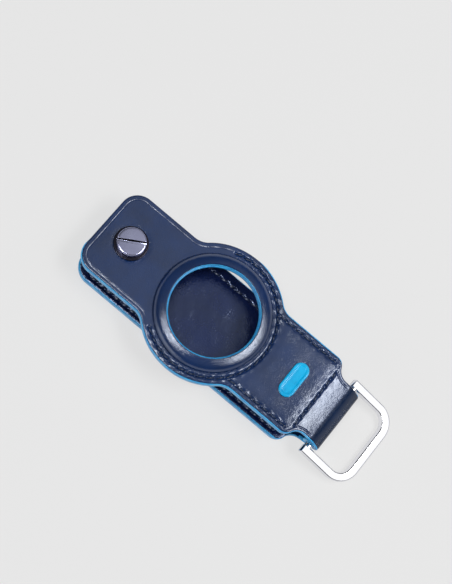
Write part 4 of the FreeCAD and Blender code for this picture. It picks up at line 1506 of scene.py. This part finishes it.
        short, place = self.lay_lining(self.seam)
        insets = [self.coat - self.lining_overlap, *self.LINING_INSETS]
        circles = [(0.0, 0.0, radius, self.LINING_STEP) for radius in self.HOLLOW_RINGS]
        panel = Panel(short, insets, step=self.LINING_STEP, spacing=self.LINING_SPACING,
                      holes=self.cuts(), circles=circles)
        shell, _ = panel.build(place, top, low)
        piece = make_piece("front_lining_panel", shell, LINING_LEATHER, Slot.LINING)
        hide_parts("front_lining")
        return piece

    def build_edge_paint(self) -> Piece:
        """Build the painted edge: both layers on the strap, the single leather on the neck and loop."""

        def top(run: Array, side: Array) -> Array:
            """Keep the outer lip just under the rounded leather, and lower on the tab's far side."""
            return -self.paint_set_back - self.bare_drop * self.bare_edge(run, side)

        def low(run: Array, side: Array) -> Array:
            """Follow the lining, then the bare neck, then the thin loop."""
            return self.paint_lip(run, self.top - self.floor, self.top - self.seam)

        def wrap(run: Array, side: Array) -> Array:
            """Lap over the face on the ring's half of the round part and on the plate."""
            uneven = 1 + self.lap_wave.at(run, side)
            lap = self.lap * self.lap_start.at(run) * uneven * (1 - self.bare_edge(run, side))
            return np.clip(self.least_lap + lap, self.least_lap, None)

        bead = edge_bead(self.outline, self.profile.place, top, low, wrap, self.coat, self.bare_edge)
        piece = make_piece("front_edge_paint", bead, EDGE_PAINT, Slot.EDGE, sharp=PAINT_SHARP)
        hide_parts("front_edge_coat", "front_neck_edge_coat")
        return piece

    def bare_edge(self, run: Array, side: Array) -> Array:
        """Tell where the paint stays behind the leather: far side of tab and neck, and the tab's end."""
        tab = self.bare_tab.at(run) * self.bare_tab_side.at(side)
        neck = self.bare_neck.at(run) * self.bare_neck_side.at(side)
        return np.maximum(tab, neck)

    def build_window_paint(self) -> Piece:
        """Build the window's painted edge, one bead on the leather and one on its lining."""
        inner = self.window_cut - self.coat
        proud = inner - self.lower_bead
        split = self.lip - self.bead_split
        corners = ((self.window_cut, self.lip, self.BEAD_ROOT), (inner, self.lip, self.UPPER_LIP),
                   (inner, split, self.UPPER_FOOT), (proud, split, self.LOWER_LIP),
                   (proud, self.lip_low, self.LOWER_FOOT), (self.window_cut, self.lip_low, self.BEAD_END))
        section = [(radius + out, height + up) for radius, height, bends in corners for out, up in bends]
        bead = lathe(section, np.zeros(2), count=self.WINDOW_STEPS)
        piece = make_piece("window_edge_paint", bead, EDGE_PAINT, Slot.EDGE, sharp=PAINT_SHARP)
        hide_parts("window_edge_coat")
        return piece

    def build_threads(self) -> list[Piece]:
        """Build the thread round the bezel and on the plate."""
        pieces = []
        for name, seam, node in (("bezel_thread", self.bezel_seam, "bezel_stitching"),
                                 ("plate_thread", self.plate_seam, "plate_stitching")):
            # Each stitch carries a pale painted glint on its crown.
            shell, rub = seam.thread(self.profile.place, 0.0)
            piece = make_piece(name, shell, THREAD, Slot.THREAD, sharp=THREAD_SHARP, rub=rub)
            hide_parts(node)
            pieces.append(piece)
        return pieces

    def build(self) -> None:
        """Build every piece; tie the lining, window paint and threads to the front body, and leave the skin
        and its edge paint untied in the frame.
        """
        hinge = joint_place("cover_open")
        for piece in (self.build_skin(), self.build_edge_paint()):
            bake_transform(piece)
        for piece in (self.build_lining(), self.build_window_paint(), *self.build_threads()):
            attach(piece, Body.FRONT.value)


@dataclass
class BackStrap(Strap):
    """Back strap: outer leather that rises to the bar, its lining, paint and thread."""

    SKIN_INSETS = (0.4, 0.6, 0.9, 1.3, 1.7, 2.0, 2.2, 2.4, 2.6, 2.8, 3.1)
    SKIN_SPACING = 1.2
    CAP_RINGS = (4.8, 5.2)
    LINING_INSETS = (0.35, 0.5, 0.7, 1.0, 1.4, 1.7, 2.0, 2.2, 2.4, 2.6, 2.8, 3.1, 3.5)
    LINING_SPACING = 0.9

    half_width: float = edge_of("back_edge_coat", End.HIGH, Axis.ACROSS)
    end_reach: float = edge_of("back_edge_coat", End.LOW, Axis.ALONG)
    plate_reach: float = edge_of("back_leather", End.HIGH, Axis.ALONG)
    leather: float = edge_of("back_leather", End.HIGH, Axis.UP)
    top: float = edge_of("back_lining", End.HIGH, Axis.UP)
    paint_low: float = edge_of("back_edge_coat", End.LOW, Axis.UP)
    stitch_inset: float = 2.4
    stitch_shift: float = -0.6
    outer_stitch_depth: float = 0.26
    post_hole: float = 2.8
    cap_hole: float = 4.6
    edge: Ridge = Ridge(-0.25, 0.35)
    loop_skin: float = 0.3
    loop_thinning: Fade = Fade(40.5, 43.5)
    lining_sink: float = 0.06
    lining_edge: Ridge = Ridge(-0.1, 0.3)
    swell: Wave = Wave(0.05, 13.0)
    small_swell: Wave = Wave(0.025, 9.0, (2.7, 2.7))
    swell_start: Fade = Fade(0.4, 2.0)
    paint_rise: float = 0.1
    loop_paint: float = 0.5
    loop_paint_fade: Fade = Fade(41.0, 43.3)
    outer_lap: float = 0.03
    inner_lap: float = 0.55
    near_lap: Fade = Fade(3.0, -6.0)
    end_lap: Fade = Fade(-30.0, -35.0)
    end_lap_share: float = 0.5

    def __post_init__(self) -> None:
        """Work out the profile, the outline and the seams."""
        self.bar = joint_place("ring_swing")[[0, 2]]
        self.loop_radius = float(span("ring_loop")[1][0]) - self.bar[0]
        self.post_reach = float(middle_of("screw_post")[0])
        self.profile = Profile(self.side_line(), outward=-1)
        self.outline = Outline(both_halves(np.vstack([
            self.tab_half_edge(), self.plain_half_edge(self.profile)])))
        side = self.half_width - self.stitch_inset
        west = self.end_reach + self.stitch_inset
        room = self.corner - self.stitch_inset
        east = self.plate_reach - self.shoulder
        rows = np.vstack([
            Seam.along((west, -side + room), (west, side - room)),
            Seam.along((west + room, side), (east, side)),
            Seam.along((east, -side), (west + room, -side))])
        rows[:, 1] += self.stitch_shift
        # The inner seam carries a strong painted glint on each stitch's crown.
        self.inner_seam = Seam(rows, facing=Facing.INNER, groove=0.06, pucker=0.02, hole=0.3, glint=0.9)
        self.outer_seam = Seam(rows, facing=Facing.OUTER, thread_radius=0.19, pucker=0.0, groove=0.3,
                               hole=0.15)

    def side_line(self) -> Array:
        """Draw the outer face: along the floor, then up to the loop's underside."""
        flat = straight((self.end_reach, 0.0), (self.plate_reach, 0.0))
        level = np.array([1.0, 0.0])
        rise = swing(np.array([self.plate_reach, 0.0]), level,
                     self.bar - np.array([0.0, self.loop_radius]), level)
        return np.vstack([flat, rise])

    def build_skin(self) -> Piece:
        """Build the outer leather, which lies on the floor and rises to the loop."""

        def outer(run: Array, side: Array) -> Array:
            """Round the edge and press the stitches in; nothing goes below the floor."""
            edge = self.edge.at(self.edge_depth(run, side))
            return np.minimum(edge + self.outer_seam.relief(run, side), 0.0)

        def inner(run: Array, side: Array) -> Array:
            """Follow the lining, and thin out under the loop."""
            return -self.leather + (self.leather - self.loop_skin) * self.loop_thinning.at(run)

        insets = [self.coat - self.coat_overlap, *self.SKIN_INSETS]
        circles = [(self.post_reach, 0.0, radius, self.SCREW_STEP) for radius in self.CAP_RINGS]
        panel = Panel(self.outline, insets, step=self.MESH_STEP, spacing=self.SKIN_SPACING,
                      holes=[(self.post_reach, 0.0, self.cap_hole)], circles=circles)
        shell, flat = panel.build(self.profile.place, outer, inner)
        piece = make_piece("back_skin", shell, STRAP_LEATHER, Slot.STRAP, rub=np.zeros(len(flat)))
        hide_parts("back_leather")
        return piece

    def build_lining(self) -> Piece:
        """Build the lining on the strap's inner side."""

        def top(run: Array, side: Array) -> Array:
            """Round the edge, press the stitches in and let the middle swell."""
            depth = self.edge_depth(run, side)
            level = self.top - self.leather - self.lining_sink
            swell = (self.swell.at(run, side) + self.small_swell.at(run, side)) * self.swell_start.at(depth)
            return level + self.lining_edge.at(depth) + swell + self.inner_seam.relief(run, side)

        short, place = self.lay_lining(self.leather)
        insets = [self.coat - self.coat_overlap, *self.LINING_INSETS]
        panel = Panel(short, insets, step=self.MESH_STEP, spacing=self.LINING_SPACING,
                      holes=[(self.post_reach, 0.0, self.post_hole)])
        shell, _ = panel.build(place, top, everywhere(self.glue_gap))
        piece = make_piece("back_lining_panel", shell, LINING_LEATHER, Slot.LINING)
        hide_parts("back_lining")
        return piece

    def build_edge_paint(self) -> Piece:
        """Build the painted edge of both layers, and of the single leather at the neck."""

        def low(run: Array, side: Array) -> Array:
            """Follow the lining's face, then the bare neck, then the thin loop."""
            return self.paint_lip(run, self.top, self.leather)

        def inner_wrap(run: Array, side: Array) -> Array:
            """Lap over the lining on the near side and the free end."""
            at_end = self.end_lap_share * self.end_lap.at(run)
            return self.inner_lap * np.maximum(self.near_lap.at(side), at_end)

        bead = edge_bead(self.outline, self.profile.place, everywhere(-self.paint_low), low,
                         everywhere(self.outer_lap), self.coat, inner_wrap=inner_wrap)
        piece = make_piece("back_edge_paint", bead, EDGE_PAINT, Slot.EDGE, sharp=PAINT_SHARP)
        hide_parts("back_edge_coat")
        return piece

    def build_thread(self) -> Piece:
        """Build the thread on both faces."""
        place = self.profile.place
        # Both seams carry the pale glint painted on each stitch's crown.
        inner, inner_painted_glint = self.inner_seam.thread(place, -self.top + self.lining_sink)
        outer, outer_painted_glint = self.outer_seam.thread(place, -self.outer_stitch_depth)
        piece = make_piece("back_thread", join([inner, outer]), THREAD, Slot.THREAD, sharp=THREAD_SHARP,
                           rub=np.concatenate([inner_painted_glint, outer_painted_glint]))
        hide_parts("back_stitching")
        return piece

    def build(self) -> None:
        """Build every piece and tie it to its body."""
        for piece in (self.build_skin(), self.build_lining(), self.build_edge_paint(), self.build_thread()):
            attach(piece, Body.BACK.value)


@dataclass
class RingLoop:
    """The rolled leather round the ring's bar, under the skin of the neck."""

    bore: float = 1.36
    skin: float = 0.2
    end_lap: float = 0.3
    half: float = 9.55
    roll_round: float = 0.1
    paint_root: float = 0.1
    paint_round: float = 0.22
    steps: int = 72

    def __post_init__(self) -> None:
        """Read the bar's place."""
        self.bar = joint_place("ring_swing")
        self.outer = float(span("ring_loop")[1][0]) - self.bar[0] - self.skin

    def across(self, section: Sequence[tuple[float, float]]) -> Shell:
        """Turn a section about the bar; its heights run across the strap."""
        points, faces = lathe(section, np.zeros(2), count=self.steps)
        return np.column_stack([points[:, 0], points[:, 2], points[:, 1]]) + self.bar, faces

    def build(self) -> None:
        """Build the roll and the paint on its two ends."""
        end = self.half - self.end_lap
        roll = rounded([(self.bore, -end, 0.0), (self.outer, -end, self.roll_round),
                        (self.outer, end, self.roll_round), (self.bore, end, 0.0)])
        piece = make_piece("loop_roll", self.across(roll), LINING_LEATHER, Slot.LINING)
        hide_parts("ring_loop")
        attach(piece, Body.BACK.value)
        for name, sign in (("loop_end_paint_left", 1), ("loop_end_paint_right", -1)):
            root, face = sign * (end - self.paint_root), sign * self.half
            ring = rounded([(self.bore, root, 0.0), (self.outer, root, 0.0),
                            (self.outer, face, self.paint_round), (self.bore, face, self.paint_round)])
            paint = make_piece(name, self.across(ring), EDGE_PAINT, Slot.EDGE, sharp=60.0)
            if sign > 0:
                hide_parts("loop_edge_coat")
            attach(paint, Body.BACK.value)


@dataclass
class ScrewSet:
    """Slotted screw, its washer, and the post that stands in the back strap."""

    DOME_SHARES = (0.8, 0.6, 0.4, 0.2, 0.0)
    THREAD_POINTS = 13
    HEAD_STEPS = 112

    slot_width: float = 1.4
    slot_depth: float = 1.1
    slot_turn: float = 32.0
    slot_lean: float = 23.0
    slot_overrun: float = 1.0
    slot_break: float = 0.07
    slot_break_angle: float = 50.0
    slot_sharp_angle: float = 30.0
    slot_reach_share: float = 0.6
    slot_wall_facing: float = 0.6
    head_edge: float = 0.5
    head_foot: float = 0.3
    head_under: float = 0.25
    dome: float = 0.12
    shank_radius: float = 1.7
    shank_taper: float = 0.4
    thread_pitch: float = 0.7
    thread_depth: float = 0.22
    thread_start: float = 0.4
    thread_end: float = 0.6
    barrel_radius: float = 2.7
    barrel_round: float = 0.25
    cap_thick: float = 0.9
    cap_dish: float = 0.05
    cap_rise: float = 0.02
    cap_round: float = 0.2
    cap_break: float = 0.1
    bore: float = 2.0
    bore_break: float = 0.15
    bore_room: float = 0.6
    washer_round: float = 0.2
    washer_break: float = 0.05

    def __post_init__(self) -> None:
        """Read places from the frame."""
        washer = span("screw_washer")
        self.centre = middle_of("screw_washer")[:2]
        self.washer_radius = (washer[1][0] - washer[0][0]) / 2
        self.washer_low, self.head_low = washer[0][2], washer[1][2]
        screw = span("screw")
        self.head_radius = (screw[1][0] - screw[0][0]) / 2
        self.head_top, self.shank_end = screw[1][2], screw[0][2]
        post = span("screw_post")
        self.cap_radius = (post[1][0] - post[0][0]) / 2
        self.post_top = post[1][2]

    def build_screw(self) -> Piece:
        """Build the screw, its head gently domed, and cut the slot."""
        crown = [(self.head_radius * share, self.head_top - self.dome * share ** 2)
                 for share in self.DOME_SHARES]
        rim = self.head_radius
        edge = rounded([(rim, self.head_low + self.head_foot, 0.0),
                        (rim, self.head_top - self.dome, self.head_edge), (*crown[0], 0.0)], steps=7)[:-1]
        threads = []
        for number in range(self.THREAD_POINTS):
            level = self.head_low - self.thread_start - self.thread_pitch * number / 2
            if level > self.shank_end + self.thread_end:
                depth = self.thread_depth if number % 2 else 0.0
                threads.append((self.shank_radius - depth, level))
        section = [(0.0, self.shank_end), (self.shank_radius - self.shank_taper, self.shank_end)]
        section += threads[::-1]
        section += [(self.shank_radius, self.head_low), (rim - self.head_under, self.head_low)]
        shell = lathe(section + edge + crown, self.centre, count=self.HEAD_STEPS)
        piece = make_piece("slotted_screw", shell, DARK_NICKEL, Slot.NICKEL, sharp=35.0)
        self.cut_slot(piece)
        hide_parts("screw")
        return piece

    def cut_slot(self, piece: Piece) -> None:
        """Cut the slot out of the head, break its edges, and give the slot's walls a darker nickel as
        painted shade.
        """
        work = bmesh.new()
        bmesh.ops.create_cube(work, size=1.0)
        lean = 2 * self.slot_depth * tan(radians(self.slot_lean)) / self.slot_width
        for corner in work.verts:
            corner.co.y *= 1 + 2 * lean * min(corner.co.z, 0)
        cutter_mesh = bpy.data.meshes.new("slot_cutter")
        work.to_mesh(cutter_mesh)
        work.free()
        length = 2 * (self.head_radius + self.slot_overrun)
        slot_turn = radians(self.slot_turn)
        turn = Matrix.Rotation(slot_turn, 4, "Z")
        size = Matrix.Diagonal((length * MM, self.slot_width * MM, 2 * self.slot_depth * MM, 1.0))
        spot = Matrix.Translation(Vector((self.centre[0], self.centre[1], self.head_top)) * MM)
        cutter_mesh.transform(spot @ turn @ size)
        cutter = add_object("slot_cutter", cutter_mesh)
        carve = piece.modifiers.new("slot", "BOOLEAN")
        carve.object = cutter
        carve.operation = "DIFFERENCE"
        soften = piece.modifiers.new("edges", "BEVEL")
        soften.width = self.slot_break * MM
        soften.segments = 2
        soften.limit_method = "ANGLE"
        soften.angle_limit = radians(self.slot_break_angle)
        bpy.context.view_layer.update()
        done = bpy.data.meshes.new_from_object(piece.evaluated_get(bpy.context.evaluated_depsgraph_get()))
        piece.modifiers.clear()
        piece.data = done
        done.shade_smooth()
        done.set_sharp_from_angle(angle=radians(self.slot_sharp_angle))
        # The slot's walls take this darker nickel below: painted shade in the slot.
        done.materials.append(BLACK_NICKEL_AND_SHADE.material())
        across = Vector((-sin(slot_turn), cos(slot_turn), 0.0))
        axis = Vector((self.centre[0], self.centre[1], 0.0)) * MM
        for face in done.polygons:
            apart = abs((face.center - axis).dot(across)) / MM
            in_slot = apart < self.slot_reach_share * self.slot_width
            is_wall = abs(face.normal.dot(across)) > self.slot_wall_facing
            if in_slot and is_wall and face.center.z > self.head_low * MM:
                face.material_index = 1
        bpy.data.objects.remove(cutter)

    def build_washer(self) -> Piece:
        """Build the washer with its broken edges."""
        ring = rounded([(self.bore, self.washer_low, self.washer_break),
                        (self.washer_radius, self.washer_low, self.washer_break),
                        (self.washer_radius, self.head_low, self.washer_round),
                        (self.bore, self.head_low, self.washer_break)])
        # Its dark finish partly stands for the shadow round the screw's head.
        piece = make_piece("washer_ring", lathe(ring, self.centre), BLACK_NICKEL_AND_SHADE, Slot.NICKEL)
        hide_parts("screw_washer")
        return piece

    def build_post(self) -> Piece:
        """Build the post: a flush cap under the strap and the barrel that keeps the layers apart."""
        floor = self.shank_end - self.bore_room
        section = [(0.0, self.cap_dish)]
        section += rounded([(self.cap_radius, self.cap_rise, self.cap_round),
                            (self.cap_radius, self.cap_thick, self.cap_break),
                            (self.barrel_radius, self.cap_thick, 0.0),
                            (self.barrel_radius, self.post_top, self.barrel_round),
                            (self.bore, self.post_top, self.bore_break), (self.bore, floor, 0.0)])
        section += [(0.0, floor)]
        piece = make_piece("post_barrel", lathe(section, self.centre), DARK_NICKEL, Slot.NICKEL)
        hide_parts("screw_post")
        return piece

    def build(self) -> None:
        """Build the three pieces and tie each to its body."""
        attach(self.build_screw(), Body.SCREW.value)
        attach(self.build_washer(), Body.WASHER.value)
        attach(self.build_post(), Body.BACK.value)


@dataclass
class SteelRing:
    """Ring of square wire with rounded edges, its straight bar round."""

    STEP = 0.4
    LINE_SKIP = 40
    BEND_SKIP = 6
    EDGE_POINTS = 6
    BAR_SIDES = 40
    BAR_RINGS = 9

    reach: float = 16.0
    wire: float = 2.5
    corner: float = 6.5
    edge: float = 0.42
    end_break: float = 0.12
    bar_radius: float = 1.25
    bar_inset_share: float = 0.7
    tilt: float = 15.54

    def __post_init__(self) -> None:
        """Read the bar's place and the ring's width."""
        self.bar = joint_place("ring_swing")
        self.half = float(span("d_ring")[1][1])

    def section(self, shrink: float = 0.0) -> Array:
        """Give the rounded square section: (across, up) points."""
        half, edge = self.wire / 2 - shrink, self.edge
        points = []
        for quarter, (sign_across, sign_up) in enumerate(((1, 1), (-1, 1), (-1, -1), (1, -1))):
            centre = ((half - edge) * sign_across, (half - edge) * sign_up)
            for turn in np.radians(np.linspace(0, 90, self.EDGE_POINTS) + 90 * quarter):
                points.append((centre[0] + edge * cos(turn), centre[1] + edge * sin(turn)))
        return np.array(points)

    def path(self) -> Array:
        """Draw the middle of the wire, flat: out along one arm, across, and back."""
        side = self.half - self.wire / 2
        far = self.reach - self.wire / 2
        bend = self.corner - self.wire / 2
        start = -self.wire / 2
        upper = straight((start, side), (far - bend, side))[::self.LINE_SKIP]
        turn = bow((far - bend, side - bend), bend, 90, 0)[::self.BEND_SKIP]
        return both_halves(np.vstack([upper, turn]))

    def build(self) -> None:
        """Build the wire and the bar as one piece and lean it to the floor."""
        path = walk(self.path(), self.STEP, closed=False)
        outward = left_of(np.gradient(path, axis=0))
        step_in = np.array([self.end_break, 0.0])
        spots = [path[0], path[0] + step_in, *path[1:-1], path[-1] + step_in, path[-1]]
        ways = [outward[0], *outward, outward[-1]]
        small = self.section(self.end_break)
        sections = [small, *[self.section()] * len(path), small]
        wire = np.array([np.column_stack([spot + section[:, :1] * away, section[:, 1]])
                         for spot, away, section in zip(spots, ways, sections)])
        inner = self.half - self.wire * self.bar_inset_share
        turns = full_turn(self.BAR_SIDES)
        bar = np.array([[(self.bar_radius * cos(turn), side, self.bar_radius * sin(turn))
                         for turn in turns] for side in np.linspace(-inner, inner, self.BAR_RINGS)])
        points, faces = join([tube(wire), tube(bar)])
        lean = Matrix.Rotation(radians(self.tilt), 3, "Y")
        placed = points @ np.array(lean).T + self.bar
        piece = make_piece("steel_ring", (placed, faces), STEEL, Slot.STEEL, sharp=40.0)
        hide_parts("d_ring")
        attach(piece, Body.RING.value)


@dataclass
class Badge:
    """Blank enamelled bar on the plate, with a raised rim."""

    RING_POINTS = 96
    KEPT_POINTS = 94
    RIM_TURNS = (15, 90, 5)
    WALL_INSETS = (0.1, 0.22, 0.34, 0.9)

    rim: float = 0.7
    rim_round: float = 0.3
    dish: float = 0.16
    wall_break: float = 0.03
    foot_inset: float = 0.02
    foot_sink: float = 0.1

    def __post_init__(self) -> None:
        """Read the bar's place and size."""
        low, high = span("badge")
        self.centre = middle_of("badge")[:2]
        self.half_width = (high[0] - low[0]) / 2
        self.half_length = (high[1] - low[1]) / 2
        self.foot = float(span("front_edge_coat")[1][2]) - self.foot_sink
        self.top = high[2]

    def loop(self, inset: float) -> Array:
        """Give the bar's outline, in by an inset."""
        radius = self.half_width - inset
        straight_half = self.half_length - self.half_width
        north = bow((0.0, straight_half), radius, 0, 180)
        south = bow((0.0, -straight_half), radius, 180, 360)
        whole = np.vstack([north, south])
        step = (2 * pi * radius + 4 * straight_half) / self.RING_POINTS
        return walk(whole, step, closed=True)[:self.KEPT_POINTS]

    def build(self) -> None:
        """Build the bar from rings and dress it."""
        levels = [(self.foot_inset, self.foot), (0.0, self.top - self.rim_round)]
        for turn in np.radians(np.linspace(*self.RIM_TURNS)):
            inset = self.rim_round * (1 - cos(turn))
            levels.append((inset, self.top - self.rim_round * (1 - sin(turn))))
        floor = self.top - self.dish
        crest, slope, foot, middle = (self.rim + inset for inset in self.WALL_INSETS)
        levels += [(self.rim, self.top), (crest, self.top - self.wall_break),
                   (slope, floor + self.wall_break), (foot, floor), (middle, floor)]
        rings = []
        for inset, height in levels:
            flat = self.loop(inset) + self.centre
            rings.append(np.column_stack([flat, np.full(len(flat), height)]))
        piece = make_piece("badge_bar", tube(np.array(rings)), CYAN_ENAMEL, Slot.BADGE, sharp=55.0)
        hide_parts("badge")
        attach(piece, Body.FRONT.value)


@dataclass(frozen=True)
class Softbox:
    """One soft studio light."""

    name: str
    place: tuple[float, float, float]
    size: tuple[float, float]
    power: float

    def build(self) -> None:
        """Set the light up, facing the floor under the window."""
        lamp = bpy.data.lights.new(self.name, "AREA")
        lamp.shape = "RECTANGLE"
        lamp.size, lamp.size_y = self.size
        lamp.energy = self.power
        holder = add_object(self.name, lamp)
        holder.location = self.place
        holder.rotation_mode = "QUATERNION"
        holder.rotation_quaternion = (Vector() - Vector(self.place)).to_track_quat("-Z", "Y")


@dataclass(frozen=True)
class Viewpoint:
    """The photograph's camera: where it stands, what it aims at and how it is turned."""

    azimuth: float = 1.75
    elevation: float = 74.73
    roll: float = 38.31
    distance: float = 365.1
    aim: tuple[float, float, float] = (-0.97, 7.07, 10.0)
    focal_pixels: float = 1331.9
    image_height: int = 584
    sensor: float = 36.0
    near: float = 0.01
    far: float = 20.0

    def build(self) -> None:
        """Make the camera and use it."""
        turn, lift = radians(self.azimuth), radians(self.elevation)
        back = Vector((sin(turn) * cos(lift), -cos(turn) * cos(lift), sin(lift)))
        level = Vector((0, 0, 1)).cross(back).normalized()
        upright = back.cross(level)
        roll = radians(self.roll)
        right = level * cos(roll) + upright * sin(roll)
        above = upright * cos(roll) - level * sin(roll)
        lens = bpy.data.cameras.new("photo_camera")
        lens.sensor_width = self.sensor
        lens.lens = self.focal_pixels * self.sensor / self.image_height
        lens.clip_start, lens.clip_end = self.near, self.far
        holder = add_object("photo_camera", lens)
        holder.matrix_world = Matrix((right, above, back)).transposed().to_4x4()
        holder.location = (Vector(self.aim) + back * self.distance) * MM
        bpy.context.scene.camera = holder


@dataclass
class Studio:
    """Plain pale floor, even soft light and the camera."""

    horizon_level: float = 0.05
    zenith_level: float = 0.26
    sky_power: float = 3.0
    wall_low: float = 0.26
    wall_high: float = 0.4
    floor_half: float = 3.0
    floor_drop: float = 0.00002
    lights: tuple[Softbox, ...] = (
        Softbox("overhead", (0.0, 0.42, 0.91), (0.5, 0.75), 0.42),
        Softbox("ring_side", (0.43, 0.20, 0.88), (0.5, 0.22), 4.4),
        Softbox("ring_fill", (0.66, 0.24, 0.71), (0.6, 0.42), 0.95),
        Softbox("near_side", (-0.18, -0.23, 0.955), (0.19, 0.19), 2.5),
        Softbox("low_fill", (-0.35, -0.85, 0.40), (0.8, 0.4), 1.6),
    )
    camera: Viewpoint = Viewpoint()

    def build_floor(self) -> None:
        """Lay the floor just under the part."""
        half, level = self.floor_half, -self.floor_drop
        mesh = bpy.data.meshes.new("floor")
        corners = [(-half, -half, level), (half, -half, level), (half, half, level), (-half, half, level)]
        mesh.from_pydata(corners, [], [(0, 1, 2, 3)])
        mesh.materials.append(FLOOR.material())
        floor = add_object("floor", mesh)

    def build_world(self) -> None:
        """Fill the room with soft light from above; near the horizon it shows the floor's pale colour."""
        world = bpy.data.worlds.new("studio")
        world.use_nodes = True
        nodes = Nodes(world.node_tree)
        look = nodes.add("ShaderNodeTexCoord").outputs["Generated"]
        up = nodes.add("ShaderNodeSeparateXYZ", {"Vector": look}).outputs["Z"]
        height = nodes.math("POWER", nodes.remap(up, 0.0, 1.0, 0.0, 1.0), self.sky_power)
        level = nodes.remap(height, 0.0, 1.0, self.horizon_level, self.zenith_level)
        wall = nodes.remap(up, self.wall_low, self.wall_high, 1.0, 0.0)
        shown = nodes.math("MULTIPLY", nodes.background_rays(), wall)
        room = nodes.add("ShaderNodeMix", {0: shown, 2: level, 3: FLOOR.pale[0]}, data_type="FLOAT")
        sky = nodes.add("ShaderNodeBackground", {"Color": (1.0, 1.0, 1.0, 1.0), "Strength": room.outputs[0]})
        nodes.add("ShaderNodeOutputWorld", {"Surface": sky.outputs[0]})
        bpy.context.scene.world = world

    def build(self) -> None:
        """Build the whole studio."""
        self.build_floor()
        self.build_world()
        for light in self.lights:
            light.build()
        self.camera.build()
        bpy.context.scene.view_settings.view_transform = "Standard"


def main() -> None:
    """Build the holder piece by piece and set up the studio."""
    logging.basicConfig(level=logging.INFO, format="%(message)s")
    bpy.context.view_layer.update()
    BackStrap().build()
    FrontStrap().build()
    RingLoop().build()
    ScrewSet().build()
    SteelRing().build()
    Badge().build()
    Studio().build()


if __name__ == "__main__":
    main()
